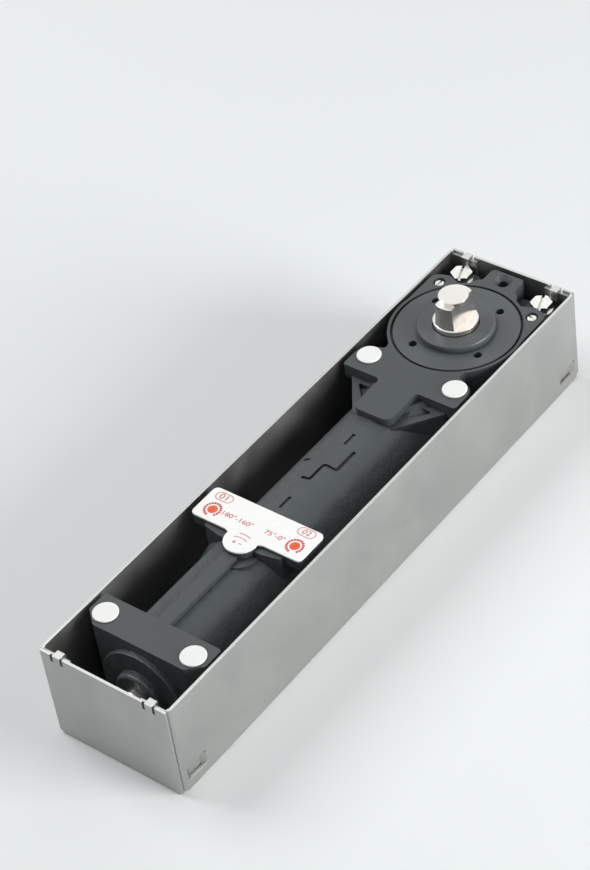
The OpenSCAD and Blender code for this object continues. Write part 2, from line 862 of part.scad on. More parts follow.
module fixing_bolts() {
    color(steel_c)
        at_bolts() {
            translate([0, 0, sheet_t + 0.2])
                cylinder(r = bolt_r, h = ledge_z + washer_t - sheet_t);
            translate([0, 0, ledge_z + washer_t])
                difference() {
                    intersection() {
                        cylinder(r = bolt_af / 2 / cos(30), h = bolt_head_h, $fn = 6);
                        cylinder(r1 = bolt_af / 2 + 3.6, r2 = bolt_af / 2 + 0.2, h = bolt_head_h + 0.4);
                    }
                    rotate([0, 0, 20])
                        translate([-bolt_af, -bolt_slot_w / 2, bolt_head_h - 1.6])
                            cube([2 * bolt_af, bolt_slot_w, 2]);
                }
        }
}

module bolt_washers() {
    color(steel_c)
        at_bolts()
            translate([0, 0, ledge_z])
                ring(washer_r, bolt_r + 0.25, washer_t);
}

module label_plate() {
    color(white_c)
        translate([0, 0, bar_top])
            linear_extrude(height = label_t)
                bar_outline();
}

module oil_filler_washer() {
    color(bronze_c)
        translate([filler_x, 0, bar_top - filler_head_h - filler_washer_t - 0.3])
            ring(filler_head_r, filler_r + 0.2, filler_washer_t);
}

module oil_filler_plug() {
    color(steel_c)
        translate([filler_x, 0, bar_top - filler_head_h - 0.3])
            difference() {
                union() {
                    cylinder(r = filler_head_r, h = filler_head_h);
                    translate([0, 0, -4.6])
                        cylinder(r = filler_r, h = 5);
                }
                translate([0, 0, -1])
                    cylinder(r = 2.3, h = 6, $fn = 6);
            }
}

// ---------------------------------------------------------------- cover

module cover_disc() {
    color(cast_c)
        difference() {
            union() {
                translate([0, 0, cover_bottom])
                    cylinder(r = cover_thread_r, h = cover_t - 1, $fn = 96);
                translate([0, 0, body_top - cover_groove_depth + 0.3])
                    cylinder(r = cover_r, h = cover_groove_depth - 0.3, $fn = 96);
                translate([0, 0, cover_hub_z])
                    cylinder(r = cover_hub_r, h = cover_bottom - cover_hub_z + 1);
                rotate_extrude($fn = 96)
                    polygon(rounded([
                        [0, body_top - 1, 0], [boss_r, body_top - 1, 0],
                        [boss_r, body_top + boss_h, boss_round], [0, body_top + boss_h, 0]
                    ]));
            }
            translate([0, 0, cover_hub_z - 1])
                cylinder(r = bush_r + press_gap, h = bush_top - cover_hub_z + 1);
            translate([0, 0, bush_top])
                cylinder(r = seal_r + press_gap, h = seal_h);
            cylinder(r = shaft_r + 0.4, h = spindle_top);
            for (i = [0:3])
                rotate([0, 0, 60 + 90 * i])
                    translate([spanner_pcr, 0, body_top - spanner_depth])
                        cylinder(r = spanner_r, h = spanner_depth + 1);
        }
}

module cover_seal() {
    color(rubber_c)
        translate([0, 0, cover_bottom - seal_ring_h])
            ring(cover_thread_r, chamber_r, seal_ring_h);
}

module upper_bush() {
    color(bronze_c)
        translate([0, 0, cover_hub_z])
            ring(bush_r, shaft_r + run_gap, bush_top - cover_hub_z);
}

module spindle_seal() {
    color(rubber_c)
        translate([0, 0, bush_top + press_gap])
            ring(seal_r, shaft_r + run_gap, seal_h - 2 * press_gap);
}

// ---------------------------------------------------------------- spindle

// The drive block: a turned cone cut by two driving flats, with a round pilot on top.
module spindle_drive() {
    block_top = spindle_top - pilot_h;
    intersection() {
        union() {
            translate([0, 0, collar_z - 1])
                cylinder(r1 = drive_base_r, r2 = drive_top_r, h = block_top - collar_z + 1 - drive_ease);
            translate([0, 0, block_top - drive_ease])
                cylinder(r1 = drive_top_r, r2 = drive_top_r - drive_ease, h = drive_ease);
        }
        rotate([90, 0, 90])
            translate([0, 0, -shaft_r])
                linear_extrude(height = 2 * shaft_r)
                    polygon([
                        [-flat_base_w / 2, collar_z - 1], [flat_base_w / 2, collar_z - 1],
                        [flat_w / 2, block_top], [-flat_w / 2, block_top]
                    ]);
    }
    translate([0, 0, block_top - 1])
        cylinder(r = flat_w / 2 - 1, h = 2);
    translate([0, 0, block_top])
        cylinder(r = pilot_r, h = pilot_h - pilot_chamfer);
    translate([0, 0, spindle_top - pilot_chamfer])
        cylinder(r1 = pilot_r, r2 = pilot_r - pilot_chamfer, h = pilot_chamfer);
}

module spindle() {
    color(steel_c)
        difference() {
            union() {
                translate([0, 0, brg_z + 0.5])
                    cylinder(r = journal_r - press_gap, h = brg_h - 0.5);
                translate([0, 0, brg_z + brg_h])
                    cylinder(r = shoulder_r, h = 3);
                translate([0, 0, brg_z + brg_h + 2.3])
                    cylinder(r = cam_seat_r - press_gap, h = cam_top - brg_z - brg_h - 1);
                translate([0, 0, cam_top])
                    cylinder(r = shaft_r, h = collar_z - cam_top - collar_chamfer);
                translate([0, 0, collar_z - collar_chamfer])
                    cylinder(r1 = shaft_r, r2 = shaft_r - collar_chamfer, h = collar_chamfer);
                spindle_drive();
            }
            translate([0, 0, cam_bottom - circlip_t])
                difference() {
                    cylinder(r = shaft_r + 2, h = circlip_t);
                    translate([0, 0, -1])
                        cylinder(r = circlip_groove_r, h = circlip_t + 2);
                }
            translate([cam_seat_r - key_d, -key_w / 2, cam_mid_z - key_l / 2])
                cube([key_d + 1, key_w, key_l]);
        }
}

module cam_key() {
    color(steel_c)
        translate([cam_seat_r - key_d + press_gap, -key_w / 2 + press_gap, cam_mid_z - key_l / 2 + press_gap])
            cube([2 * key_d, key_w - 2 * press_gap, key_l - 2 * press_gap]);
}

module cam_circlip() {
    color(steel_c)
        translate([0, 0, cam_bottom - circlip_t + press_gap])
            difference() {
                ring(circlip_r, circlip_groove_r + press_gap, circlip_t - 2 * press_gap);
                translate([0, -2.5, -1])
                    cube([circlip_r + 1, 5, circlip_t + 2]);
            }
}

// Heart cam: equal piston travel for equal turn on either side of the notch.
module heart_cam() {
    color(steel_c)
        difference() {
            translate([0, 0, cam_bottom])
                linear_extrude(height = cam_t)
                    mirror([1, 0])
                        polygon(cam_outline);
            translate([0, 0, cam_bottom - 1])
                cylinder(r = cam_seat_r, h = cam_t + 2);
            translate([0, -key_w / 2, cam_bottom - 1])
                cube([cam_seat_r + key_d + press_gap, key_w, cam_t + 2]);
            translate([cam_seat_r + 9, 0, cam_bottom - 1])
                cylinder(r = 4.5, h = cam_t + 2);
        }
}

// ---------------------------------------------------------------- lower bearing

module ball_groove() {
    translate([0, 0, brg_z + brg_h / 2])
        rotate_extrude()
            translate([brg_pitch_r, 0])
                circle(r = brg_ball_r + brg_ball_gap, $fn = 32);
}

module lower_bearing_outer_ring() {
    color(steel_c)
        difference() {
            translate([0, 0, brg_z])
                ring(brg_r, brg_outer_r, brg_h);
            ball_groove();
        }
}

module lower_bearing_inner_ring() {
    color(steel_c)
        difference() {
            translate([0, 0, brg_z])
                ring(brg_inner_r, journal_r, brg_h);
            ball_groove();
        }
}

module at_balls() {
    for (i = [0:brg_balls - 1])
        rotate([0, 0, i * 360 / brg_balls])
            translate([brg_pitch_r, 0, brg_z + brg_h / 2])
                children();
}

module lower_bearing_balls() {
    color(steel_c)
        at_balls()
            sphere(r = brg_ball_r, $fn = 32);
}

module lower_bearing_cage() {
    color(bronze_c)
        difference() {
            translate([0, 0, brg_z + brg_h / 2 - cage_half_h])
                ring(brg_pitch_r + cage_half_t, brg_pitch_r - cage_half_t, 2 * cage_half_h);
            at_balls()
                rotate([0, 90, 0])
                    cylinder(r = brg_ball_r + 0.15, h = 8, center = true);
        }
}

// ---------------------------------------------------------------- follower and piston

module cam_roller() {
    color(steel_c)
        translate([roller_x, 0, cam_mid_z - roller_half_h])
            ring(roller_r, pin_r + run_gap, 2 * roller_half_h);
}

module roller_pin() {
    color(steel_c)
        translate([roller_x, 0, cam_mid_z - arm_out])
            cylinder(r = pin_r, h = 2 * arm_out);
}

// Fork that carries the roller: a round plate with two arms and a stem in the piston.
module cam_fork() {
    color(steel_c)
        difference() {
            union() {
                x_cylinder(fork_r, piston_front, fork_plate_x);
                x_cylinder(fork_stem_r, piston_front - fork_stem_l, piston_front + 1);
                intersection() {
                    for (s = [-1, 1])
                        translate([0, 0, cam_mid_z + s * (arm_in + arm_t / 2) - arm_t / 2])
                            linear_extrude(height = arm_t)
                                polygon(rounded(both_sides([
                                    [fork_plate_x - 2, arm_half_w, 0],
                                    [arm_tip_x, arm_half_w, 5]
                                ])));
                    x_cylinder(fork_r, fork_plate_x - 3, 0);
                }
            }
            translate([roller_x, 0, 0])
                cylinder(r = pin_r + press_gap, h = clear_h);
            y_cylinder(fork_pin_r + press_gap, fork_pin_x, bore_r);
            x_cylinder(check_port_r, piston_front - 1, fork_plate_x + 1, check_z);
        }
}

module fork_pin() {
    color(steel_c)
        y_cylinder(fork_pin_r, fork_pin_x, piston_r - fork_pin_inset);
}

module piston() {
    color(steel_c)
        difference() {
            union() {
                x_cylinder(piston_r, piston_back, piston_front);
                x_cylinder(spigot_r, piston_back - spigot_l, piston_back + 1);
            }
            x_ring(bore_r + 1, piston_r - ring_depth, ring_x, ring_x + ring_w);
            x_cylinder(fork_stem_r + press_gap, piston_front - fork_stem_l - 0.3, piston_front + 1);
            y_cylinder(fork_pin_r + press_gap, fork_pin_x, bore_r);
            x_cylinder(check_r + press_gap, check_seat_x, piston_front + 1, check_z);
            x_cylinder(check_port_r, piston_back - 1, check_seat_x + 1, check_z);
        }
}

module piston_ring() {
    color(rubber_c)
        x_ring(piston_r, piston_r - ring_depth + press_gap, ring_x + press_gap, ring_x + ring_w - press_gap);
}

module check_valve_ball() {
    color(steel_c)
        translate([check_seat_x + check_ball_r + 0.05, 0, check_z])
            sphere(r = check_ball_r, $fn = 32);
}

module check_valve_screw() {
    color(bronze_c)
        difference() {
            x_cylinder(check_r, check_seat_x + 2 * check_ball_r + check_ball_lift + 0.2, piston_front - 0.2, check_z);
            x_cylinder(check_port_r, check_seat_x, piston_front + 1, check_z);
        }
}

// ---------------------------------------------------------------- spring

// One ring of the wire at turn angle a, around the coil's axis along X.
function wire_ring(x, a, sides) =
    [for (j = [0:sides - 1])
        let (
            r = coil_r + wire_d / 2 * cos(j * 360 / sides),
            dx = wire_d / 2 * sin(j * 360 / sides)
        )
        [x + dx, r * cos(a), tube_z + r * sin(a)]];

module main_spring() {
    sides = 8;
    steps = 14;
    rings = coils * steps;
    x0 = spring_near + wire_d / 2 + press_gap;
    x1 = spring_far - wire_d / 2 - press_gap;
    // the first and last coil lie flat, the others share the rest of the length
    flat = steps;
    rise = [for (i = [0:rings])
        let (u = max(0, min(1, (i - flat * 0.75) / (rings - flat * 1.5))))
        x0 + (x1 - x0 - 2 * 0.9 * wire_d) * u
        + 0.9 * wire_d * (min(i, flat * 0.75) + max(0, i - rings + flat * 0.75)) / (flat * 0.75)];
    points = [for (i = [0:rings]) each wire_ring(rise[i], i * 360 / steps, sides)];
    skin = [for (i = [0:rings - 1], j = [0:sides - 1])
        let (a = i * sides + j, b = i * sides + (j + 1) % sides)
        each [[a, a + sides, b], [b, a + sides, b + sides]]];
    caps = [
        [for (j = [0:sides - 1]) j],
        [for (j = [sides - 1:-1:0]) rings * sides + j]
    ];
    color(steel_c)
        polyhedron(points, concat(skin, caps), convexity = 8);
}

module spring_seat() {
    color(steel_c) {
        x_cylinder(seat_r, seat_back, seat_back + seat_t);
        x_cylinder(spigot_r, seat_back, seat_back + seat_t + spigot_l);
    }
}

module end_plug() {
    color(cast_c)
        difference() {
            union() {
                x_cylinder(plug_r, block_near, plug_inner);
                x_cylinder(plug_flange_r, block_near - plug_flange_t, block_near);
                x_cylinder(plug_hub_r, block_near - plug_flange_t - plug_hub_t + 1, block_near);
                translate([block_near - plug_flange_t - plug_hub_t, 0, tube_z])
                    rotate([0, 90, 0])
                        cylinder(r1 = plug_hub_r - 1, r2 = plug_hub_r, h = 1);
            }
            x_cylinder(power_r + run_gap, screw_out, plug_inner + 1);
            x_cylinder(screw_seal_r + press_gap, power_ring_x, power_ring_x + power_ring_w);
            x_ring(plug_r + 1, plug_r - plug_ring_depth, plug_ring_x, plug_ring_x + plug_ring_w);
        }
}

module end_plug_seal() {
    color(rubber_c)
        x_ring(plug_r, plug_r - plug_ring_depth + press_gap, plug_ring_x + press_gap,
            plug_ring_x + plug_ring_w - press_gap);
}

module power_screw_seal() {
    color(rubber_c)
        x_ring(screw_seal_r, power_r + run_gap, power_ring_x + press_gap, power_ring_x + power_ring_w - press_gap);
}

module power_screw() {
    color(steel_c)
        difference() {
            union() {
                x_cylinder(power_r, screw_out + 1, seat_back - 0.1);
                translate([screw_out, 0, tube_z])
                    rotate([0, 90, 0])
                        cylinder(r1 = power_r - 1, r2 = power_r, h = 1);
            }
            translate([screw_out - 1, 0, tube_z])
                rotate([0, 90, 0])
                    cylinder(r = 3.4, h = 6, $fn = 6);
        }
}

// ---------------------------------------------------------------- speed valves

module valve_screw() {
    color(steel_c)
        difference() {
            union() {
                translate([0, 0, valve_bottom])
                    cylinder(r = valve_r, h = valve_head_top - valve_head_h - valve_bottom);
                translate([0, 0, valve_head_top - valve_head_h - eps])
                    cylinder(r = valve_head_r, h = valve_head_h + eps);
                translate([0, 0, valve_tip])
                    cylinder(r1 = valve_needle_r - 0.5, r2 = valve_needle_r, h = valve_bottom - valve_tip);
            }
            translate([0, 0, valve_ring_z])
                difference() {
                    cylinder(r = valve_r + 1, h = valve_ring_h);
                    translate([0, 0, -1])
                        cylinder(r = valve_ring_in, h = valve_ring_h + 2);
                }
            translate([-valve_head_r - 1, -0.4, valve_head_top - 1.1])
                cube([2 * valve_head_r + 2, 0.8, 2]);
        }
}

module valve_seal() {
    color(rubber_c)
        translate([0, 0, valve_ring_z + press_gap])
            ring(valve_r, valve_ring_in + press_gap, valve_ring_h - 2 * press_gap);
}

module valve_01_screw() {
    translate([valve_x, valve_y, 0])
        valve_screw();
}

module valve_01_seal() {
    translate([valve_x, valve_y, 0])
        valve_seal();
}

module valve_02_screw() {
    translate([valve_x, -valve_y, 0])
        rotate([0, 0, 70])
            valve_screw();
}

module valve_02_seal() {
    translate([valve_x, -valve_y, 0])
        valve_seal();
}

cement_box();
fixing_bar();
closer_body();
levelling_screws();
screw_caps();
fixing_bolts();
bolt_washers();
cover_disc();
cover_seal();
spindle();
spindle_seal();
upper_bush();
heart_cam();
cam_key();
cam_circlip();
lower_bearing_outer_ring();
lower_bearing_inner_ring();
lower_bearing_balls();
lower_bearing_cage();
cam_roller();
roller_pin();
cam_fork();
fork_pin();
piston();
piston_ring();
check_valve_ball();
check_valve_screw();
main_spring();
spring_seat();
end_plug();
end_plug_seal();
power_screw();
power_screw_seal();
valve_01_screw();
valve_01_seal();
valve_02_screw();
valve_02_seal();
label_plate();
oil_filler_plug();
oil_filler_washer();
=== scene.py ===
"""Floor spring door closer in its cement box: finishes, printed label, light and camera.

A name that ends in _mm, _m or _deg gives its unit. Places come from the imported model.
"""

import json
import logging
import math
from collections.abc import Sequence
from dataclasses import dataclass
from enum import Enum
from typing import Any

import bmesh
import bpy
from mathutils import Matrix, Vector


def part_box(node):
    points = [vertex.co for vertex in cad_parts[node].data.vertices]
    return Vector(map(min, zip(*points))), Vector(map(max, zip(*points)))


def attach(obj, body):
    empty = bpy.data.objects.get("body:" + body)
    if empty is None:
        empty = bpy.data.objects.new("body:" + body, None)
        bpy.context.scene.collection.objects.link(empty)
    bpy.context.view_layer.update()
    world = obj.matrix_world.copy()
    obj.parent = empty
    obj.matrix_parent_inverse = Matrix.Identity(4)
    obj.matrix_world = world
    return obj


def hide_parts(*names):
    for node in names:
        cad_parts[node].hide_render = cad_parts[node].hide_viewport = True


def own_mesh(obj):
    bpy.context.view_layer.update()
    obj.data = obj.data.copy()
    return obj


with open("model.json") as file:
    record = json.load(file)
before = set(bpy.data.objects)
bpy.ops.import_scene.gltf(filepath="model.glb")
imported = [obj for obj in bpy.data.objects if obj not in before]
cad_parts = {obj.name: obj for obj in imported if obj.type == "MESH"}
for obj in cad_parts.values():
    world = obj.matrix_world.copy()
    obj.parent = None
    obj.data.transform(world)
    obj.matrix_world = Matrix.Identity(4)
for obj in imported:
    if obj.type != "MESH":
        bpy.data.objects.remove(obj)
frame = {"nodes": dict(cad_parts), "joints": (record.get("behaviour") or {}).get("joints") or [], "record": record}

LOG = logging.getLogger("floor_spring")
MM = 0.001
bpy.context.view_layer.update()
HOUSING = "housing"  # the body that stays where it is
MILLED = "milled"  # face attribute: 1 on faces cut bare or flat
WORN = "worn"  # face attribute: 1 on eased corners
MERGE_MM = 0.002  # corners nearer than this are one corner
FLAT_DEG = 0.5  # faces that meet at less than this are one face
LEVEL = 0.999  # a face whose normal's Z is above this looks straight up
NOISE_LOW, NOISE_HIGH = 0.3, 0.7  # noise lies round 0.5 and seldom leaves this range
# colour of the painted shade that darkens grooves and inner corners
CORNER_SHADE_COLOUR = "#101213"
OPEN_FROM, OPEN_TO = 0.35, 0.85  # how open a place is where the painted shade covers it fully, and where there is none
CORNER_SAMPLES = 8  # rays that look for a corner
Point = tuple[float, float]  # X and Y on the label plate, in millimetres
Figures = tuple[str, float, Point]  # printed figures, their width in millimetres and their middle


# ------------------------------------------------------------------ helpers


def linear(hex_colour: str) -> tuple[float, float, float, float]:
    """Turns an sRGB colour into Blender's linear one.

    Args:
        hex_colour: Six hexadecimal digits after a hash.

    Returns:
        Red, green, blue and an alpha of 1, each linear.
    """
    parts = [int(hex_colour[i : i + 2], 16) / 255 for i in (1, 3, 5)]
    red, green, blue = (c / 12.92 if c <= 0.04045 else ((c + 0.055) / 1.055) ** 2.4 for c in parts)
    return red, green, blue, 1.0


def add_node(
    tree: bpy.types.NodeTree, kind: str, inputs: dict[str | int, Any] | None = None, **settings: Any
) -> bpy.types.Node:
    """Adds a node with its settings and links.

    Args:
        tree: The tree that gets the node.
        kind: The node's type name.
        inputs: A value or another node's output socket for each input, by name or number.
        settings: The node's own properties.

    Returns:
        The new node.
    """
    node = tree.nodes.new(kind)
    for name, value in settings.items():
        setattr(node, name, value)
    for key, value in (inputs or {}).items():
        if isinstance(value, bpy.types.NodeSocket):
            tree.links.new(value, node.inputs[key])
        else:
            node.inputs[key].default_value = value
    return node


def seen_or_mirrored(tree: bpy.types.NodeTree) -> bpy.types.NodeSocket:
    """Tells which rays show the background: those that see it, mirror it or pass through glass.

    Args:
        tree: The tree of a material or the world.

    Returns:
        1 for those rays and 0 for the rest.
    """
    ray = add_node(tree, "ShaderNodeLightPath").outputs
    seen = add_node(tree, "ShaderNodeMath", {0: ray["Is Camera Ray"], 1: ray["Is Glossy Ray"]}, operation="MAXIMUM")
    return add_node(
        tree, "ShaderNodeMath", {0: seen.outputs[0], 1: ray["Is Transmission Ray"]}, operation="MAXIMUM"
    ).outputs[0]


def link_object(name: str, data: bpy.types.ID) -> bpy.types.Object:
    """Puts a mesh, text, lamp or camera into the scene under a name.

    Args:
        name: The new object's name.
        data: What it shows; a mesh has its place in it.

    Returns:
        The new object.
    """
    piece = bpy.data.objects.new(name, data)
    bpy.context.scene.collection.objects.link(piece)
    return piece


def body_of_node(node: str) -> str:
    """Gives the name of the body that a CAD node belongs to."""
    return next(body for body, nodes in frame["record"]["behaviour"]["bodies"].items() if node in nodes)


def set_modifier_input(modifier: bpy.types.Modifier, name: str, value: Any) -> None:
    """Sets a named input of a Geometry Nodes modifier.

    Args:
        modifier: The modifier.
        name: The input's name in its tree.
        value: The value that it gets.
    """
    items = modifier.node_group.interface.items_tree
    inputs = (item for item in items if item.item_type == "SOCKET" and item.in_out == "INPUT")
    found = next(item for item in inputs if item.name == name)
    modifier[found.identifier] = value


def plain_mesh(source: bpy.types.Object, name: str) -> bpy.types.Mesh:
    """Turns an object with modifiers, or a text, into a plain mesh.

    Args:
        source: The object; it is removed.
        name: The new mesh's name.

    Returns:
        The mesh as the object showed it.
    """
    graph = bpy.context.evaluated_depsgraph_get()
    mesh = bpy.data.meshes.new_from_object(source.evaluated_get(graph), depsgraph=graph)
    mesh.name = name
    bpy.data.objects.remove(source, do_unlink=True)
    return mesh


def paint_shade_in_corners(
    tree: bpy.types.NodeTree, colour: bpy.types.NodeSocket, reach_mm: float
) -> bpy.types.NodeSocket:
    """Darkens grooves and inner corners with painted shade.

    Args:
        tree: The material's tree.
        colour: The surface's colour without the painted shade.
        reach_mm: How far from a corner the painted shade reaches.

    Returns:
        The colour with the painted shade.
    """
    # painted shade: ambient occlusion darkens the colour where faces close in
    corner = add_node(
        tree, "ShaderNodeAmbientOcclusion", {"Distance": reach_mm * MM}, samples=CORNER_SAMPLES, only_local=True
    )
    unshaded = add_node(
        tree, "ShaderNodeMapRange", {"Value": corner.outputs["AO"], "From Min": OPEN_FROM, "From Max": OPEN_TO}
    )
    mixed = add_node(
        tree, "ShaderNodeMix", {"Factor": unshaded.outputs[0], 6: linear(CORNER_SHADE_COLOUR), 7: colour}, data_type="RGBA"
    )
    return mixed.outputs[2]


# ----------------------------------------------------------------- finishes


@dataclass(frozen=True)
class Finish:
    """A surface with one colour that varies a little, as any real one does.

    Attributes:
        name: What the material is, in plain words.
        colour: Its main colour.
        second: The colour that it drifts to.
        metallic: 1 for bare metal and 0 for the rest.
        roughness: Its mean roughness.
        roughness_swing: How far the roughness drifts.
        patch_mm: Size of the patches of colour.
        grain_mm: Size of the surface grain.
        grain_height_mm: Height of the grain.
        ior: Index of refraction of a surface that isn't metal.
    """

    name: str
    colour: str
    second: str
    metallic: float = 0.0
    roughness: float = 0.5
    roughness_swing: float = 0.08
    patch_mm: float = 20.0
    grain_mm: float = 0.8
    grain_height_mm: float = 0.02
    ior: float = 1.5

    def material(self) -> bpy.types.Material:
        """Gives the finish's material, made the first time it is asked for.

        Returns:
            The material.
        """
        found = bpy.data.materials.get(self.name)
        if found:
            return found
        made = bpy.data.materials.new(self.name)
        made.use_nodes = True
        tree = made.node_tree
        tree.nodes.clear()
        place = add_node(tree, "ShaderNodeTexCoord").outputs["Object"]
        sockets = self.sockets(tree, place)
        shader = add_node(tree, "ShaderNodeBsdfPrincipled", sockets)
        add_node(tree, "ShaderNodeOutputMaterial", {"Surface": self.surface(tree, place, shader.outputs[0])})
        made.diffuse_color = linear(self.colour)
        return made

    def surface(
        self, tree: bpy.types.NodeTree, place: bpy.types.NodeSocket, shader: bpy.types.NodeSocket
    ) -> bpy.types.NodeSocket:
        """Gives what the material shows: the shader itself, unless a finish adds to it."""
        return shader

    def sockets(self, tree: bpy.types.NodeTree, place: bpy.types.NodeSocket) -> dict[str, Any]:
        """Builds what feeds the shader.

        Args:
            tree: The material's tree.
            place: Object coordinates.

        Returns:
            A value or socket for each input of the shader.
        """
        patches = add_node(
            tree, "ShaderNodeTexNoise", {"Vector": place, "Scale": 1 / (self.patch_mm * MM), "Detail": 4.0}
        )
        colour = add_node(
            tree,
            "ShaderNodeMix",
            {"Factor": patches.outputs[0], 6: linear(self.colour), 7: linear(self.second)},
            data_type="RGBA",
        )
        return {
            "Base Color": colour.outputs[2],
            "Metallic": self.metallic,
            "Roughness": self.drift(tree, patches.outputs[0]),
            "IOR": self.ior,
            "Normal": self.bump(tree, self.grain(tree, place)),
        }

    def drift(self, tree: bpy.types.NodeTree, pattern: bpy.types.NodeSocket) -> bpy.types.NodeSocket:
        """Turns a pattern into a roughness round the mean.

        Args:
            tree: The material's tree.
            pattern: A pattern round 0.5.

        Returns:
            The roughness.
        """
        spread = add_node(
            tree,
            "ShaderNodeMapRange",
            {
                "Value": pattern,
                "From Min": NOISE_LOW,
                "From Max": NOISE_HIGH,
                "To Min": self.roughness - self.roughness_swing,
                "To Max": self.roughness + self.roughness_swing,
            },
        )
        return spread.outputs[0]

    def grain(self, tree: bpy.types.NodeTree, place: bpy.types.NodeSocket) -> bpy.types.NodeSocket:
        """Gives the height pattern of the surface.

        Args:
            tree: The material's tree.
            place: Object coordinates.

        Returns:
            The height.
        """
        noise = add_node(
            tree, "ShaderNodeTexNoise", {"Vector": place, "Scale": 1 / (self.grain_mm * MM), "Detail": 3.0}
        )
        return noise.outputs[0]

    def bump(self, tree: bpy.types.NodeTree, height: bpy.types.NodeSocket) -> bpy.types.NodeSocket:
        """Turns a height pattern into a normal."""
        bump = add_node(tree, "ShaderNodeBump", {"Height": height, "Distance": self.grain_height_mm * MM})
        return bump.outputs[0]


@dataclass(frozen=True)
class BrushedFinish(Finish):
    """A metal rolled or brushed along one direction, so its grain is long and thin.

    Attributes:
        stretch: How many times longer than wide each scratch is, along X, Y and Z.
    """

    stretch: tuple[float, float, float] = (12.0, 1.0, 1.0)

    def grain(self, tree: bpy.types.NodeTree, place: bpy.types.NodeSocket) -> bpy.types.NodeSocket:
        """Gives the height pattern of the scratches.

        Args:
            tree: The material's tree.
            place: Object coordinates.

        Returns:
            The height.
        """
        scale = tuple(1 / s for s in self.stretch)
        drawn = add_node(tree, "ShaderNodeMapping", {"Vector": place, "Scale": scale})
        return super().grain(tree, drawn.outputs[0])


@dataclass(frozen=True)
class SheetFinish(BrushedFinish):
    """Plated sheet whose sheared edges are bright bare metal.

    Attributes:
        edge_colour: Colour of the sheared edges.
        edge_roughness: Their roughness.
    """

    edge_colour: str = "#FFFFFF"
    edge_roughness: float = 0.3

    def sockets(self, tree: bpy.types.NodeTree, place: bpy.types.NodeSocket) -> dict[str, Any]:
        """Builds what feeds the shader, with the sheared edges bare.

        Args:
            tree: The material's tree.
            place: Object coordinates.

        Returns:
            A value or socket for each input of the shader.
        """
        base = super().sockets(tree, place)
        cut = add_node(tree, "ShaderNodeAttribute", attribute_name=MILLED).outputs["Fac"]
        colour = add_node(
            tree,
            "ShaderNodeMix",
            {"Factor": cut, 6: base["Base Color"], 7: linear(self.edge_colour)},
            data_type="RGBA",
        )
        gloss = add_node(
            tree, "ShaderNodeMix", {"Factor": cut, 2: base["Roughness"], 3: self.edge_roughness}, data_type="FLOAT"
        )
        return base | {"Base Color": colour.outputs[2], "Roughness": gloss.outputs[0]}


@dataclass(frozen=True)
class TurnedFinish(Finish):
    """A metal turned on a lathe, with fine rings round the spindle's axis.

    Attributes:
        feed_mm: Distance between two rings.
        faced: True for rings on a flat face, and False for rings down a shaft.
        wobble: How far the rings are from true circles.
        shade_reach_mm: How far from a corner the painted shade reaches, or 0 for none.
    """

    feed_mm: float = 0.5
    faced: bool = False
    wobble: float = 0.6
    shade_reach_mm: float = 0.0

    def sockets(self, tree: bpy.types.NodeTree, place: bpy.types.NodeSocket) -> dict[str, Any]:
        """Builds what feeds the shader, with painted shade in the corners.

        Args:
            tree: The material's tree.
            place: Object coordinates.

        Returns:
            A value or socket for each input of the shader.
        """
        base = super().sockets(tree, place)
        if not self.shade_reach_mm:
            return base
        # painted shade in the grooves and inner corners
        return base | {"Base Color": paint_shade_in_corners(tree, base["Base Color"], self.shade_reach_mm)}

    def grain(self, tree: bpy.types.NodeTree, place: bpy.types.NodeSocket) -> bpy.types.NodeSocket:
        """Gives the height pattern of the rings.

        Args:
            tree: The material's tree.
            place: Object coordinates.

        Returns:
            The height.
        """
        settings = {"wave_type": "RINGS", "rings_direction": "Z"} if self.faced else {"bands_direction": "Z"}
        rings = add_node(
            tree,
            "ShaderNodeTexWave",
            {"Vector": place, "Scale": 1 / (self.feed_mm * MM) / (2 * math.pi), "Distortion": self.wobble},
            **settings,
        )
        return rings.outputs[1]


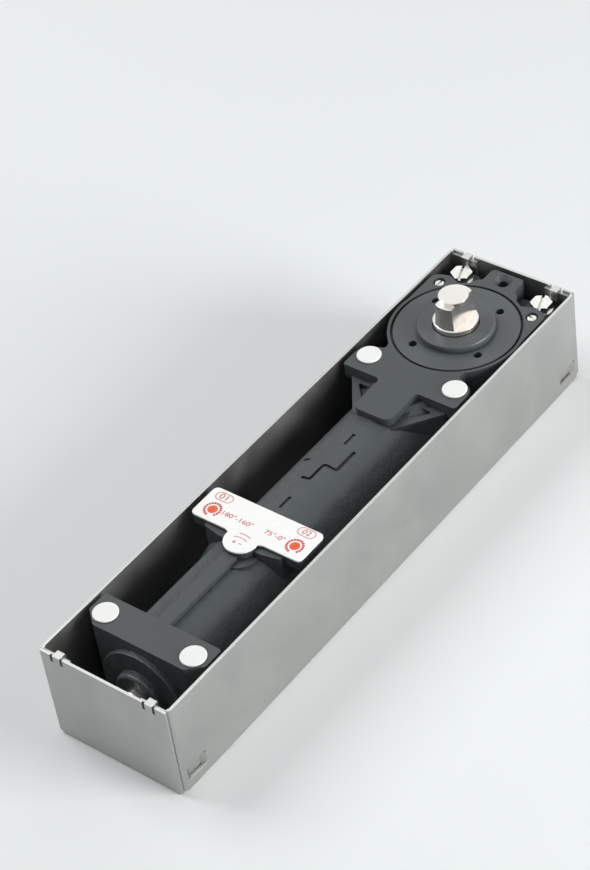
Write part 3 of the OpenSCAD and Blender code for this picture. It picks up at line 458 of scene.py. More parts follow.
@dataclass(frozen=True)
class CastFinish(Finish):
    """A sand casting with milled faces and edges that are rubbed brighter.

    Attributes:
        milled_colour: Colour of the milled faces.
        milled_roughness: Their roughness.
        worn_colour: Colour of the rubbed edges.
        wear: How strongly the edges are rubbed at most, up to 1.
        least_wear: How strongly they are rubbed everywhere.
        chip_mm: Size of the rubbed spots along an edge.
        chip_noise: The noise at which a spot starts, and at which it is rubbed most.
        lump_mm: Size of the casting's lumps.
        lump_share: Height of the lumps, as a share of the grain's.
        milled_grain: What is left of the grain on a milled face.
        shade_reach_mm: How far from a corner the painted shade reaches.
    """

    milled_colour: str = "#808080"
    milled_roughness: float = 0.4
    worn_colour: str = "#909090"
    wear: float = 0.5
    least_wear: float = 0.15
    chip_mm: float = 3.0
    chip_noise: tuple[float, float] = (0.4, 0.62)
    lump_mm: float = 4.0
    lump_share: float = 1.5
    milled_grain: float = 0.06
    shade_reach_mm: float = 2.6

    def sockets(self, tree: bpy.types.NodeTree, place: bpy.types.NodeSocket) -> dict[str, Any]:
        """Builds what feeds the shader, with milled faces, rubbed edges and painted shade in the corners.

        Args:
            tree: The material's tree.
            place: Object coordinates.

        Returns:
            A value or socket for each input of the shader.
        """
        base = super().sockets(tree, place)
        milled = add_node(tree, "ShaderNodeAttribute", attribute_name=MILLED).outputs["Fac"]
        worn = add_node(tree, "ShaderNodeAttribute", attribute_name=WORN).outputs["Fac"]
        chips = add_node(
            tree, "ShaderNodeTexNoise", {"Vector": place, "Scale": 1 / (self.chip_mm * MM), "Detail": 3.0}
        )
        rubbed = add_node(
            tree,
            "ShaderNodeMapRange",
            {
                "Value": chips.outputs[0],
                "From Min": self.chip_noise[0],
                "From Max": self.chip_noise[1],
                "To Min": self.least_wear,
                "To Max": self.wear,
            },
        )
        amount = add_node(tree, "ShaderNodeMath", {0: worn, 1: rubbed.outputs[0]}, operation="MULTIPLY")
        faced = add_node(
            tree,
            "ShaderNodeMix",
            {"Factor": milled, 6: base["Base Color"], 7: linear(self.milled_colour)},
            data_type="RGBA",
        )
        colour = add_node(
            tree,
            "ShaderNodeMix",
            {"Factor": amount.outputs[0], 6: faced.outputs[2], 7: linear(self.worn_colour)},
            data_type="RGBA",
        )
        gloss = add_node(
            tree, "ShaderNodeMix", {"Factor": milled, 2: base["Roughness"], 3: self.milled_roughness}, data_type="FLOAT"
        )
        # painted shade in the grooves and inner corners
        corner_shaded = paint_shade_in_corners(tree, colour.outputs[2], self.shade_reach_mm)
        return base | {"Base Color": corner_shaded, "Roughness": gloss.outputs[0]}

    def grain(self, tree: bpy.types.NodeTree, place: bpy.types.NodeSocket) -> bpy.types.NodeSocket:
        """Gives the height pattern of the sand's grain, which the milled faces nearly lack.

        Args:
            tree: The material's tree.
            place: Object coordinates.

        Returns:
            The height.
        """
        sand = super().grain(tree, place)
        lumps = add_node(
            tree, "ShaderNodeTexNoise", {"Vector": place, "Scale": 1 / (self.lump_mm * MM), "Detail": 2.0}
        )
        both = add_node(
            tree, "ShaderNodeMath", {0: lumps.outputs[0], 1: self.lump_share, 2: sand}, operation="MULTIPLY_ADD"
        )
        milled = add_node(tree, "ShaderNodeAttribute", attribute_name=MILLED).outputs["Fac"]
        left = add_node(tree, "ShaderNodeMapRange", {"Value": milled, "To Min": 1.0, "To Max": self.milled_grain})
        height = add_node(tree, "ShaderNodeMath", {0: both.outputs[0], 1: left.outputs[0]}, operation="MULTIPLY")
        return height.outputs[0]


@dataclass(frozen=True)
class FloorFinish(Finish):
    """Matt studio floor that fades into the plain pale background away from the box.

    Attributes:
        fade_from_m: Distance from the spindle at which the fade starts.
        fade_to_m: Distance at which only the background is left.
        far_colour: The background's colour.
    """

    fade_from_m: float = 0.5
    fade_to_m: float = 1.7
    far_colour: str = "#F2F5F6"

    def surface(
        self, tree: bpy.types.NodeTree, place: bpy.types.NodeSocket, shader: bpy.types.NodeSocket
    ) -> bpy.types.NodeSocket:
        """Mixes the floor with the background, for rays that see it or mirror it.

        Args:
            tree: The material's tree.
            place: Object coordinates.
            shader: The floor's own shader.

        Returns:
            The mixed shader.
        """
        away = add_node(tree, "ShaderNodeVectorMath", {0: place}, operation="LENGTH")
        fade = add_node(
            tree,
            "ShaderNodeMapRange",
            {"Value": away.outputs["Value"], "From Min": self.fade_from_m, "From Max": self.fade_to_m},
            interpolation_type="SMOOTHSTEP",
        )
        share = add_node(tree, "ShaderNodeMath", {0: fade.outputs[0], 1: seen_or_mirrored(tree)}, operation="MULTIPLY")
        plain = add_node(tree, "ShaderNodeEmission", {"Color": linear(self.far_colour)})
        mixed = add_node(tree, "ShaderNodeMixShader", {0: share.outputs[0], 1: shader, 2: plain.outputs[0]})
        return mixed.outputs[0]


class Palette(Enum):
    """The finishes of the pieces."""

    # zinc-plated cold-rolled sheet: pale, slightly patchy metal with rolling marks along the box
    ZINC_SHEET = SheetFinish(
        "zinc_plated_rolled_sheet", "#B4B4B2", "#A3A3A1",
        metallic=1.0, roughness=0.42, roughness_swing=0.07, patch_mm=26, grain_mm=0.9, grain_height_mm=0.012,
        stretch=(14.0, 14.0, 1.0), edge_colour="#C6C5C3", edge_roughness=0.35,
    )
    # sand-cast grey iron under a thin black phosphate: rough, dark, with a soft sheen, milled on top, and painted shade
    # in its grooves and corners
    CAST_IRON = CastFinish(
        "black_phosphated_cast_iron", "#43484A", "#3A3F41",
        roughness=0.5, roughness_swing=0.07, patch_mm=9, grain_mm=1.2, grain_height_mm=0.34,
        milled_colour="#3C4142", milled_roughness=0.44, worn_colour="#7C8282", wear=0.5,
    )
    # the same iron turned flat on a lathe: a smoother sheen, rings drawn coarse enough to show, and painted shade in
    # its corners
    TURNED_IRON = TurnedFinish(
        "phosphated_turned_iron", "#4A4F50", "#44494A",
        roughness=0.42, roughness_swing=0.05, patch_mm=18, grain_height_mm=0.012,
        feed_mm=0.55, faced=True, shade_reach_mm=3.0,
    )
    # ground carbon steel: bright and slightly warm, with rings drawn coarser than grinding's to show
    GROUND_STEEL = TurnedFinish(
        "ground_spindle_steel", "#EFEAE5", "#E0DAD4",
        metallic=1.0, roughness=0.22, roughness_swing=0.05, patch_mm=6, grain_height_mm=0.006, feed_mm=0.5,
    )
    # hardened bearing steel, ground and oiled: grey and smooth, with slightly blurred reflections
    BEARING_STEEL = Finish(
        "oiled_bearing_steel", "#B9B9B8", "#9FA0A0",
        metallic=1.0, roughness=0.25, roughness_swing=0.06, patch_mm=8, grain_mm=0.5, grain_height_mm=0.005,
    )
    # cold-headed steel under bright zinc plating: pale, with small bright highlights
    ZINC_STEEL = Finish(
        "bright_zinc_plated_steel", "#EDEBE6", "#D3D1CC",
        metallic=1.0, roughness=0.22, roughness_swing=0.08, patch_mm=5, grain_mm=0.6, grain_height_mm=0.02,
    )
    # cast tin bronze, machined: brown gold with a satin sheen
    BRONZE = Finish(
        "tin_bronze", "#B88A4C", "#9C7038",
        metallic=1.0, roughness=0.32, roughness_swing=0.06, patch_mm=7, grain_mm=0.5, grain_height_mm=0.01,
    )
    # moulded nitrile rubber: matt and almost black
    RUBBER = Finish(
        "black_nitrile_rubber", "#1B1B1C", "#232324",
        roughness=0.7, roughness_swing=0.06, patch_mm=5, grain_mm=0.5, grain_height_mm=0.02,
    )
    # injection-moulded polyethylene: soft white with a blurred sheen
    WHITE_PLASTIC = Finish(
        "white_moulded_polyethylene", "#EEEEEC", "#E8E8E6",
        roughness=0.45, roughness_swing=0.05, patch_mm=8, grain_mm=0.7, grain_height_mm=0.01,
    )
    # stove lacquer on thin sheet: white, smooth and a little glossy
    WHITE_LACQUER = Finish(
        "white_lacquered_sheet", "#F9F8F6", "#F3F2F0",
        roughness=0.3, roughness_swing=0.05, patch_mm=14, grain_mm=0.6, grain_height_mm=0.006,
    )
    # screen-printed inks: flat strong colour that covers slightly unevenly
    RED_INK = Finish(
        "red_screen_printed_ink", "#C8404A", "#B93842",
        roughness=0.45, roughness_swing=0.05, patch_mm=3, grain_mm=0.3, grain_height_mm=0.003,
    )
    ORANGE_INK = Finish(
        "orange_screen_printed_ink", "#E8673C", "#DC5A32",
        roughness=0.45, roughness_swing=0.05, patch_mm=3, grain_mm=0.3, grain_height_mm=0.003,
    )
    # drawn and oil-tempered wire: dark grey with a brown cast and a dull shine
    SPRING_STEEL = Finish(
        "oil_tempered_spring_steel", "#5B5A58", "#4A4744",
        metallic=1.0, roughness=0.35, roughness_swing=0.08, patch_mm=6, grain_mm=0.4, grain_height_mm=0.01,
    )

    def material(self) -> bpy.types.Material:
        """Gives the finish's material."""
        return self.value.material()


NODE_SLOTS = {row["node"]: row["material_slot"] for row in frame["record"]["subparts"]}
SLOT_FINISH = {
    "zinc_sheet": Palette.ZINC_SHEET,
    "dark_cast_iron": Palette.CAST_IRON,
    "zinc_steel": Palette.ZINC_STEEL,
    "ground_steel": Palette.GROUND_STEEL,
    "hardened_steel": Palette.BEARING_STEEL,
    "bronze": Palette.BRONZE,
    "black_rubber": Palette.RUBBER,
    "white_cap": Palette.WHITE_PLASTIC,
    "printed_plate": Palette.WHITE_LACQUER,
}


# ------------------------------------------------------------ eased pieces


@dataclass
class EasedPiece:
    """A CAD node drawn again with its corners eased, as tumbling, casting or shearing leaves them.

    Attributes:
        node: The CAD node that it stands for.
        finish: Its finish.
        radius_mm: Radius of the eased corners.
        segments: Facets across each eased corner.
        milled_above_mm: Flat faces that look up from above this height are milled.
        corner_deg: The least angle between two faces that counts as a corner.
    """

    node: str
    finish: Palette
    radius_mm: float
    segments: int = 2
    milled_above_mm: float = 1000.0
    corner_deg: float = 28.0

    def eased_mesh(self) -> bpy.types.Mesh:
        """Copies the node's mesh and eases its corners.

        Returns:
            The mesh, with its eased corners and its milled faces marked.
        """
        shape = bmesh.new()
        shape.from_mesh(frame["nodes"][self.node].data)
        bmesh.ops.remove_doubles(shape, verts=shape.verts, dist=MERGE_MM * MM)
        flat = math.radians(FLAT_DEG)
        bmesh.ops.dissolve_limit(shape, angle_limit=flat, verts=shape.verts, edges=shape.edges)
        corner = math.radians(self.corner_deg)
        corners = [e for e in shape.edges if e.is_manifold and e.calc_face_angle(0.0) > corner]
        worn = shape.faces.layers.float.new(WORN)
        milled = shape.faces.layers.float.new(MILLED)
        eased = bmesh.ops.bevel(
            shape,
            geom=corners,
            offset=self.radius_mm * MM,
            offset_type="OFFSET",
            segments=self.segments,
            profile=0.5,
            affect="EDGES",
            clamp_overlap=True,
        )
        for face in eased["faces"]:
            face[worn] = 1.0
        for face in shape.faces:
            face.smooth = True
            if face.normal.z > LEVEL and face.calc_center_median().z > self.milled_above_mm * MM:
                face[milled] = 1.0
        mesh = bpy.data.meshes.new(f"{self.node}_eased")
        shape.to_mesh(mesh)
        shape.free()
        mesh.set_sharp_from_angle(angle=corner)
        return mesh

    def build(self) -> None:
        """Makes the piece, lets it ride on the node's body and hides the node."""
        raw = link_object(f"{self.node}_raw", self.eased_mesh())
        raw.modifiers.new("flat_faces", "WEIGHTED_NORMAL").keep_sharp = True
        piece = link_object(f"{self.node}_eased", plain_mesh(raw, f"{self.node}_eased"))
        piece.data.materials.clear()
        piece.data.materials.append(self.finish.material())
        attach(piece, body_of_node(self.node))
        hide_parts(self.node)
        LOG.info("%s: %d faces", piece.name, len(piece.data.polygons))


EASED_PIECES = (
    EasedPiece("closer_body", Palette.CAST_IRON, 0.5, milled_above_mm=56.5),
    EasedPiece("cement_box", Palette.ZINC_SHEET, 0.12, segments=1, milled_above_mm=57.0),
    EasedPiece("cover_disc", Palette.TURNED_IRON, 0.3),
    EasedPiece("end_plug", Palette.CAST_IRON, 0.4),
    EasedPiece("spindle", Palette.GROUND_STEEL, 0.14),
    EasedPiece("fixing_bolts", Palette.ZINC_STEEL, 0.25),
    EasedPiece("bolt_washers", Palette.ZINC_STEEL, 0.15),
    EasedPiece("valve_01_screw", Palette.ZINC_STEEL, 0.2),
    EasedPiece("valve_02_screw", Palette.ZINC_STEEL, 0.2),
    EasedPiece("power_screw", Palette.ZINC_STEEL, 0.25),
    EasedPiece("screw_caps", Palette.WHITE_PLASTIC, 0.4, segments=3),
    EasedPiece("label_plate", Palette.WHITE_LACQUER, 0.15),
)


# ------------------------------------------------------------------- spring


class GeometryTree:
    """A Geometry Nodes tree with named inputs and one mesh output.

    Attributes:
        tree: The tree.
        inputs: Its group input's sockets by name.
    """

    def __init__(self, name: str, inputs: dict[str, tuple[str, Any]]) -> None:
        """Starts the tree.

        Args:
            name: The tree's name.
            inputs: The socket type of each named input, and its value or None where make() gives it.
        """
        self.tree = bpy.data.node_groups.new(name, "GeometryNodeTree")
        self.tree.interface.new_socket("Geometry", in_out="OUTPUT", socket_type="NodeSocketGeometry")
        for label, (kind, value) in inputs.items():
            socket = self.tree.interface.new_socket(label, in_out="INPUT", socket_type=kind)
            if value is not None:
                socket.default_value = value
        start = self.tree.nodes.new("NodeGroupInput")
        self.inputs = {label: start.outputs[label] for label in inputs}

    def add(self, kind: str, inputs: dict[str | int, Any] | None = None, **settings: Any) -> bpy.types.Node:
        """Adds a node to the tree, as add_node() does."""
        return add_node(self.tree, kind, inputs, **settings)

    def finish(self, geometry: bpy.types.NodeSocket) -> bpy.types.NodeTree:
        """Realizes the geometry, gives it the tree's Material and ends the tree.

        Args:
            geometry: What the tree has made.

        Returns:
            The tree.
        """
        real = self.add("GeometryNodeRealizeInstances", {"Geometry": geometry})
        dressed = self.add(
            "GeometryNodeSetMaterial", {"Geometry": real.outputs[0], "Material": self.inputs["Material"]}
        )
        self.add("NodeGroupOutput", {"Geometry": dressed.outputs[0]})
        return self.tree

    def make(self, name: str, values: dict[str, Any]) -> bpy.types.Object:
        """Runs the finished tree and gives the result as a plain object.

        Args:
            name: The object's name.
            values: A value for each named input that has none, or another one.

        Returns:
            The new object.
        """
        holder = link_object(f"{name}_holder", bpy.data.meshes.new(f"{name}_holder"))
        modifier = holder.modifiers.new(self.tree.name, "NODES")
        modifier.node_group = self.tree
        for label, value in values.items():
            set_modifier_input(modifier, label, value)
        return link_object(name, plain_mesh(holder, name))


@dataclass
class MainSpring:
    """The closing spring: round wire in coils along X, with its end coils closed.

    Attributes:
        coils: Number of coils.
        wire_mm: Diameter of the wire.
        closed_turns: Turns at each end that lie against their neighbour.
        closed_pitch: Rise of the closed turns at one end, as a share of the wire.
        steps_per_turn: Steps along one coil.
        wire_sides: Sides round the wire.
        halves: For each half, its name, the body at its outer end, the joint that pushes that
            end, and whether the half starts at the spring's low end.
    """

    coils: float = 11.0
    wire_mm: float = 7.0
    closed_turns: float = 0.75
    closed_pitch: float = 0.9
    steps_per_turn: int = 28
    wire_sides: int = 14
    halves: tuple[tuple[str, str, str, bool], ...] = (
        ("main_spring_wire_seat_half", "spring_set", "spring_seat_slide", True),
        ("main_spring_wire_piston_half", "piston_set", "piston_slide", False),
    )

    def tree(self) -> GeometryTree:
        """Builds the tree that sweeps the wire along its coils.

        Returns:
            The tree, with the spring's sizes as its inputs.
        """
        made = GeometryTree(
            "coil_spring",
            {
                "Turns": ("NodeSocketFloat", self.coils),
                "Coil Radius": ("NodeSocketFloat", None),
                "Wire Radius": ("NodeSocketFloat", None),
                "Length": ("NodeSocketFloat", None),
                "End Share": ("NodeSocketFloat", None),
                "End Rise": ("NodeSocketFloat", None),
                "From Share": ("NodeSocketFloat", None),
                "To Share": ("NodeSocketFloat", None),
                "Material": ("NodeSocketMaterial", None),
            },
        )
        given = made.inputs
        path = made.add(
            "GeometryNodeCurveSpiral",
            {
                "Resolution": self.steps_per_turn,
                "Rotations": given["Turns"],
                "Start Radius": given["Coil Radius"],
                "End Radius": given["Coil Radius"],
                "Height": 1.0,
            },
        )
        along = made.add("GeometryNodeSplineParameter").outputs["Factor"]
        far_share = made.add("ShaderNodeMath", {0: 1.0, 1: given["End Share"]}, operation="SUBTRACT").outputs[0]
        ends = made.add("ShaderNodeMath", {0: given["End Rise"], 1: 2.0}, operation="MULTIPLY").outputs[0]
        middle = made.add("ShaderNodeMath", {0: given["Length"], 1: ends}, operation="SUBTRACT").outputs[0]
        near_part = made.add(
            "ShaderNodeMapRange", {"Value": along, "From Max": given["End Share"], "To Max": given["End Rise"]}
        )
        middle_part = made.add(
            "ShaderNodeMapRange",
            {"Value": along, "From Min": given["End Share"], "From Max": far_share, "To Max": middle},
        )
        far_part = made.add(
            "ShaderNodeMapRange", {"Value": along, "From Min": far_share, "To Max": given["End Rise"]}
        )
        first = made.add("ShaderNodeMath", {0: near_part.outputs[0], 1: middle_part.outputs[0]}, operation="ADD")
        height = made.add("ShaderNodeMath", {0: first.outputs[0], 1: far_part.outputs[0]}, operation="ADD")
        around = made.add("ShaderNodeSeparateXYZ", {"Vector": made.add("GeometryNodeInputPosition").outputs[0]})
        place = made.add(
            "ShaderNodeCombineXYZ", {"X": height.outputs[0], "Y": around.outputs["Y"], "Z": around.outputs["X"]}
        )
        moved = made.add("GeometryNodeSetPosition", {"Geometry": path.outputs[0], "Position": place.outputs[0]})
        cut = made.add("GeometryNodeTrimCurve", {0: moved.outputs[0], 2: given["From Share"], 3: given["To Share"]})
        wire = made.add(
            "GeometryNodeCurvePrimitiveCircle", {"Resolution": self.wire_sides, "Radius": given["Wire Radius"]}
        )
        swept = made.add(
            "GeometryNodeCurveToMesh", {"Curve": cut.outputs[0], "Profile Curve": wire.outputs[0], "Fill Caps": True}
        )
        made.finish(swept.outputs[0])
        return made

    def build(self) -> None:
        """Makes the spring in the room of its CAD node, in two halves that meet in the middle.

        Each end is pushed by a joint of its own, so each half rides on the body at its outer end;
        the share of its length that it keeps at the joint's full stroke is only logged.
        """
        low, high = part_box("main_spring")
        wire = self.wire_mm * MM
        middle = (low + high) / 2
        tree = self.tree()
        slides = [joint for joint in frame["joints"] if joint.get("range_m")]
        strokes = {slide["name"]: max(abs(end) for end in slide["range_m"]) for slide in slides}
        for name, body, joint, at_low_end in self.halves:
            half = tree.make(
                name,
                {
                    "Coil Radius": (high.y - low.y - wire) / 2,
                    "Wire Radius": wire / 2,
                    "Length": high.x - low.x - wire,
                    "End Share": self.closed_turns / self.coils,
                    "End Rise": self.closed_pitch * wire,
                    "From Share": 0.0 if at_low_end else 0.5,
                    "To Share": 0.5 if at_low_end else 1.0,
                    "Material": Palette.SPRING_STEEL.material(),
                },
            )
            half.data.transform(Matrix.Translation((low.x + wire / 2, 0, middle.z)))
            half.data.shade_smooth()
            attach(half, body)
            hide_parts("main_spring")
            outer_x = low.x if at_low_end else high.x
            keep = 1 - strokes[joint] / abs(middle.x - outer_x)
            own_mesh(half)
            LOG.info("%s keeps %.3f of its length", name, keep)


# -------------------------------------------------------------- label print


@dataclass
class LabelPrint:
    """What is printed on the label plate: numbers, two dials and a turning mark.

    Attributes:
        line_mm: Width of a printed line.
        squat: Height of the figures, as a share of their usual height.
        valve_numbers: The valves' numbers, each with its width and middle.
        scales: The two scales in degrees, each with its width and middle.
        oval_halves_mm: Half the width and half the length of the line round a valve's number.
        dials: The middles of the two dials.
        core_mm: Radius of the disc in the middle of a dial.
        pointer_mm: Half the length of the pointer on that disc.
        pointer_rise_mm: How far each end of the pointer lies off its middle, across the plate.
        dashes: Number of dashes round a dial.
        dash_ring_mm: Radius of the circle that they lie on.
        dash_size_mm: Their length along the circle and their width.
        dash_start_deg: Where the first dash lies.
        dash_sweep: The angle from the first to the last, in radians.
        turn_middle: The middle of the turning mark's arcs.
        turn_arcs: Radius, start and end in degrees of each arc.
        signs: The short strokes of the plus and the minus beside them.
        round_step_deg: Turn between two corners of a printed circle.
        arc_steps: Straight steps in a printed arc.
        dial_points: Points along the circle that the dashes lie on.
        red_proud_mm: Height of the red ink above the plate.
        orange_proud_mm: Height of the orange ink, which the red one covers.
    """

    line_mm: float = 0.38
    squat: float = 0.85
    valve_numbers: tuple[Figures, ...] = (("01", 4.6, (-163.2, 24.9)), ("02", 4.8, (-162.2, -24.9)))
    scales: tuple[Figures, ...] = (
        ("180\u00b0-160\u00b0", 18.4, (-172.0, 10.2)),
        ("75\u00b0-0\u00b0", 11.8, (-171.6, -12.6)),
    )
    oval_halves_mm: tuple[float, float] = (2.6, 4.9)
    dials: tuple[Point, ...] = ((-172.6, 25.0), (-172.2, -25.2))
    core_mm: float = 2.7
    pointer_mm: float = 1.3
    pointer_rise_mm: float = 0.4
    dashes: int = 17
    dash_ring_mm: float = 4.2
    dash_size_mm: tuple[float, float] = (1.05, 1.3)
    dash_start_deg: float = -130
    dash_sweep: float = 5.2
    turn_middle: Point = (-190.5, 0.4)
    turn_arcs: tuple[tuple[float, float, float], ...] = ((9.5, -24, 24), (12.0, -20, 14))
    signs: tuple[tuple[Point, Point], ...] = (
        ((-184.8, 3.0), (-184.8, 1.0)),
        ((-183.8, 2.0), (-185.8, 2.0)),
        ((-184.6, -0.6), (-184.6, -2.4)),
    )
    round_step_deg: int = 15
    arc_steps: int = 12
    dial_points: int = 96
    red_proud_mm: float = 0.05
    orange_proud_mm: float = 0.02

    def stroke(self, path: Sequence[Point], closed: bool = False) -> bpy.types.Mesh:
        """Makes a line of constant width along a path.

        Args:
            path: Points on the plate in millimetres.
            closed: True if the line runs back to its start.

        Returns:
            The line as a flat mesh.
        """
        shape = bmesh.new()
        points = [Vector((x, y)) for x, y in path]
        count = len(points)
        sides = []
        for i, point in enumerate(points):
            before = points[i - 1] if i or closed else point
            after = points[(i + 1) % count] if i + 1 < count or closed else point
            ahead = (after - before).normalized()
            out = Vector((-ahead.y, ahead.x)) * self.line_mm / 2
            sides.append([shape.verts.new(((point + s * out) * MM).to_3d()) for s in (1, -1)])
        for i in range(count if closed else count - 1):
            a, b = sides[i], sides[(i + 1) % count]
            shape.faces.new((a[0], a[1], b[1], b[0]))
        mesh = bpy.data.meshes.new("printed_line")
        shape.to_mesh(mesh)
        shape.free()
        return mesh

    def words(self, text: str, width_mm: float, middle: Point) -> bpy.types.Mesh:
        """Makes printed figures that read across the box.

        Args:
            text: The figures.
            width_mm: Their whole width.
            middle: Where their middle lies on the plate, in millimetres.

        Returns:
            The figures as a flat mesh.
        """
        curve = bpy.data.curves.new("figures", "FONT")
        curve.body = text
        curve.align_x = "CENTER"
        curve.align_y = "CENTER"
        curve.resolution_u = 4
        mesh = plain_mesh(link_object("figures", curve), "figures")
        xs = [v.co.x for v in mesh.vertices]
        scale = width_mm * MM / (max(xs) - min(xs))
        across_box = Matrix(((0, 1, 0, 0), (-1, 0, 0, 0), (0, 0, 1, 0), (0, 0, 0, 1)))
        place = Matrix.Translation((middle[0] * MM, middle[1] * MM, 0))
        mesh.transform(place @ across_box @ Matrix.Diagonal((scale, scale * self.squat, 1, 1)))
        return mesh

    def turns(self) -> list[float]:
        """Gives the angles of a printed circle's corners, in radians."""
        return [math.radians(a) for a in range(0, 360, self.round_step_deg)]

    def oval(self, middle: Point) -> bpy.types.Mesh:
        """Makes the line round a valve's number, with straight long sides.

        Args:
            middle: Its middle on the plate in millimetres.

        Returns:
            The line as a flat mesh.
        """
        (x, y), (half_x, half_y) = middle, self.oval_halves_mm
        path = [
            (x + half_x * math.sin(t), y + half_x * math.cos(t) + math.copysign(half_y - half_x, math.cos(t)))
            for t in self.turns()
        ]
        return self.stroke(path, closed=True)

    def arc(self, middle: Point, radius: float, start: float, end: float) -> bpy.types.Mesh:
        """Makes a line along part of a circle.

        Args:
            middle: The circle's middle on the plate in millimetres.
            radius: Its radius in millimetres.
            start: Where the line starts, in degrees from +X.
            end: Where it ends.

        Returns:
            The line as a flat mesh.
        """
        turns = [math.radians(start + (end - start) * i / self.arc_steps) for i in range(self.arc_steps + 1)]
        return self.stroke([(middle[0] + radius * math.cos(t), middle[1] + radius * math.sin(t)) for t in turns])

    def dash_tree(self) -> GeometryTree:
        """Builds the tree that sets short dashes round a dial.

        Returns:
            The tree, with the ring's sizes as its inputs.
        """
        made = GeometryTree(
            "dial_dashes",
            {
                "Count": ("NodeSocketInt", self.dashes),
                "Radius": ("NodeSocketFloat", self.dash_ring_mm * MM),
                "Dash Length": ("NodeSocketFloat", self.dash_size_mm[0] * MM),
                "Dash Width": ("NodeSocketFloat", self.dash_size_mm[1] * MM),
                "Start Angle": ("NodeSocketFloat", math.radians(self.dash_start_deg)),
                "Sweep": ("NodeSocketFloat", self.dash_sweep),
                "Material": ("NodeSocketMaterial", None),
            },
        )
        given = made.inputs
        arc = made.add(
            "GeometryNodeCurveArc",
            {
                "Resolution": self.dial_points,
                "Radius": given["Radius"],
                "Start Angle": given["Start Angle"],
                "Sweep Angle": given["Sweep"],
            },
        )
        points = made.add("GeometryNodeCurveToPoints", {"Curve": arc.outputs[0], "Count": given["Count"]})
        along = made.add(
            "FunctionNodeAlignRotationToVector", {"Vector": points.outputs["Tangent"]}, axis="X", pivot_axis="Z"
        )
        size = {"Size X": given["Dash Length"], "Size Y": given["Dash Width"]}
        dash = made.add("GeometryNodeMeshGrid", size | {"Vertices X": 2, "Vertices Y": 2})
        set_out = made.add(
            "GeometryNodeInstanceOnPoints",
            {"Points": points.outputs[0], "Instance": dash.outputs[0], "Rotation": along.outputs[0]},
        )
        made.finish(set_out.outputs[0])
        return made

    def disc(self, middle: Point, radius: float) -> bpy.types.Mesh:
        """Makes a filled circle.

        Args:
            middle: Its middle on the plate in millimetres.
            radius: Its radius in millimetres.

        Returns:
            The circle as a flat mesh.
        """
        shape = bmesh.new()
        rim = [(middle[0] + radius * math.cos(t), middle[1] + radius * math.sin(t)) for t in self.turns()]
        shape.faces.new([shape.verts.new((x * MM, y * MM, 0)) for x, y in rim])
        mesh = bpy.data.meshes.new("printed_disc")
        shape.to_mesh(mesh)
        shape.free()
        return mesh

    def gather(self, name: str, finish: Palette, proud_mm: float, parts: list[bpy.types.Mesh]) -> None:
        """Joins flat meshes into one print that lies on the plate.

        Args:
            name: The print's name.
            finish: Its ink.
            proud_mm: Height of the ink above the plate.
            parts: The flat meshes, in metres on the plate.
        """
        _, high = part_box("label_plate")
        joined = bmesh.new()
        for part in parts:
            joined.from_mesh(part)
        for face in joined.faces:
            if face.normal.z < 0:
                face.normal_flip()
        mesh = bpy.data.meshes.new(name)
        joined.to_mesh(mesh)
        joined.free()
        mesh.transform(Matrix.Translation((0, 0, high.z + proud_mm * MM)))
        mesh.materials.append(finish.material())
        piece = link_object(name, mesh)
        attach(piece, HOUSING)
        LOG.info("%s: %d faces", name, len(mesh.polygons))

    def build(self) -> None:
        """Prints the whole label."""
        red = [self.oval(middle) for _, _, middle in self.valve_numbers]
        red += [self.words(*figures) for figures in self.valve_numbers + self.scales]
        red += [self.arc(self.turn_middle, *span) for span in self.turn_arcs]
        red += [self.stroke(sign) for sign in self.signs]
        orange = []
        tree = self.dash_tree()
        for x, y in self.dials:
            ring = tree.make("dial_ring", {"Material": Palette.RED_INK.material()})
            ring.data.transform(Matrix.Translation((x * MM, y * MM, 0)))
            red.append(ring.data)
            bpy.data.objects.remove(ring, do_unlink=True)
            reach, rise = self.pointer_mm, self.pointer_rise_mm
            red.append(self.stroke([(x - reach, y + rise), (x + reach, y - rise)]))
            orange.append(self.disc((x, y), self.core_mm))
        self.gather("label_red_print", Palette.RED_INK, self.red_proud_mm, red)
        self.gather("label_orange_print", Palette.ORANGE_INK, self.orange_proud_mm, orange)


def dress_nodes() -> None:
    """Gives each CAD node the material of its slot in the record."""
    for node, piece in frame["nodes"].items():
        piece.data.materials.clear()
        piece.data.materials.append(SLOT_FINISH[NODE_SLOTS[node]].material())
    LOG.info("dressed %d nodes", len(NODE_SLOTS))


# -------------------------------------------------------------------- stage


@dataclass(frozen=True)
class SoftLamp:
    """A square soft lamp that points at the box.

    Attributes:
        name: Its name.
        place_m: Its place.
        width_m: Its width.
        watts: Its power.
    """

    name: str
    place_m: tuple[float, float, float]
    width_m: float
    watts: float

    def hang(self) -> None:
        """Hangs the lamp."""
        data = bpy.data.lights.new(self.name, "AREA")
        data.shape = "SQUARE"
        data.size = self.width_m
        data.energy = self.watts
        lamp = link_object(self.name, data)
        low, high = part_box("cement_box")
        aim = (low + high) / 2 - Vector(self.place_m)
        lamp.matrix_world = Matrix.Translation(self.place_m) @ aim.to_track_quat("-Z", "Y").to_matrix().to_4x4()


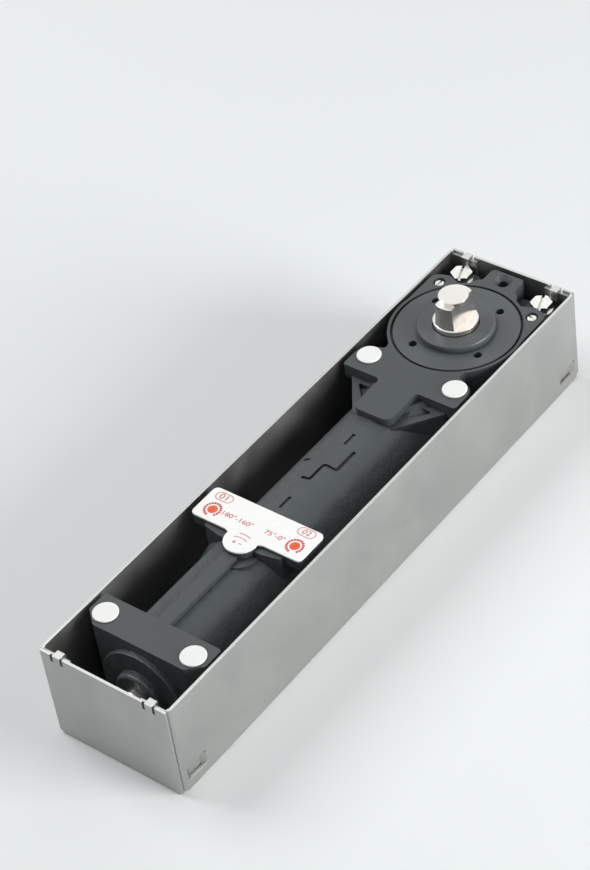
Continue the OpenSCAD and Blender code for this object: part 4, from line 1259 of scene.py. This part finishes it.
@dataclass
class Studio:
    """Pale floor, soft lamps and the camera.

    Attributes:
        distance_m: Distance from the camera to its target.
        azimuth: Direction of the view, from +X towards +Y, in degrees.
        elevation: Height of the camera above the horizon, in degrees.
        roll: Tilt of the picture, in degrees.
        target_offset_m: The target's place from the middle of the box.
        lens: Focal length of the lens.
        sensor_mm: Width of the sensor.
        far_m: Distance past which the camera sees nothing.
        floor_size_m: Side of the square floor.
        floor_colour: Its colour.
        sky_colour: Colour of the background and of the light from all sides.
        sky_light: Strength of that light.
        lamps: The soft lamps.
    """

    distance_m: float = 1.3329
    azimuth: float = 43.2025
    elevation: float = 42.1098
    roll: float = 8.9133
    target_offset_m: tuple[float, float, float] = (0.03155, 0.0449, 0.0)
    lens: float = 106.914
    sensor_mm: float = 36.0
    far_m: float = 50.0
    floor_size_m: float = 14.0
    floor_colour: str = "#E3E6E6"
    sky_colour: str = "#F2F5F6"
    sky_light: float = 0.4
    lamps: tuple[SoftLamp, ...] = (
        SoftLamp("left_soft_box", (-0.3, 1.3, 1.6), 1.2, 22),
        SoftLamp("right_soft_box", (0.3, -1.6, 0.4), 0.9, 42),
        # two weak lamps that the ground spindle mirrors
        SoftLamp("spindle_card", (1.1, -1.0, 1.45), 0.7, 1.3),
        SoftLamp("back_card", (2.2, 1.1, 1.4), 0.9, 4),
    )

    def camera(self) -> None:
        """Makes the camera."""
        low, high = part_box("cement_box")
        target = (low + high) / 2 + Vector(self.target_offset_m)
        turn, rise = math.radians(self.azimuth), math.radians(self.elevation)
        ahead = Vector((math.cos(rise) * math.cos(turn), math.cos(rise) * math.sin(turn), -math.sin(rise)))
        level_right = ahead.cross(Vector((0, 0, 1))).normalized()
        level_up = level_right.cross(ahead)
        tilt = math.radians(self.roll)
        up = math.cos(tilt) * level_up + math.sin(tilt) * level_right
        right = ahead.cross(up)
        data = bpy.data.cameras.new("camera")
        data.sensor_width = self.sensor_mm
        data.lens = self.lens
        data.clip_end = self.far_m
        camera = link_object("camera", data)
        turned = Matrix((right, up, -ahead)).transposed().to_4x4()
        camera.matrix_world = Matrix.Translation(target - ahead * self.distance_m) @ turned
        bpy.context.scene.camera = camera

    def floor(self) -> None:
        """Lays the floor that the box stands on."""
        mesh = bpy.data.meshes.new("floor")
        half = self.floor_size_m / 2
        mesh.from_pydata([(-half, -half, 0), (half, -half, 0), (half, half, 0), (-half, half, 0)], [], [(0, 1, 2, 3)])
        floor = link_object("floor", mesh)
        # matt paint on board: plain and pale, with only soft shadows
        paint = FloorFinish(
            "matt_studio_floor", self.floor_colour, self.floor_colour,
            roughness=0.9, roughness_swing=0.02, patch_mm=500, grain_mm=50, grain_height_mm=0.0,
            far_colour=self.sky_colour,
        )
        floor.data.materials.append(paint.material())

    def world(self) -> None:
        """Makes the soft light from all sides, with white walls that the metal mirrors."""
        world = bpy.data.worlds.new("studio")
        bpy.context.scene.world = world
        world.use_nodes = True
        tree = world.node_tree
        tree.nodes.clear()
        strength = add_node(
            tree, "ShaderNodeMapRange", {"Value": seen_or_mirrored(tree), "To Min": self.sky_light, "To Max": 1.0}
        )
        sky = add_node(
            tree, "ShaderNodeBackground", {"Color": linear(self.sky_colour), "Strength": strength.outputs[0]}
        )
        add_node(tree, "ShaderNodeOutputWorld", {"Surface": sky.outputs[0]})

    def build(self) -> None:
        """Makes the whole studio."""
        self.world()
        self.floor()
        for lamp in self.lamps:
            lamp.hang()
        self.camera()
        bpy.context.scene.view_settings.view_transform = "Standard"


def main() -> None:
    """Builds the classes in order."""
    logging.basicConfig(level=logging.INFO, format="%(message)s")
    Studio().build()
    dress_nodes()
    for piece in EASED_PIECES:
        piece.build()
    MainSpring().build()
    LabelPrint().build()


if __name__ == "__main__":
    main()
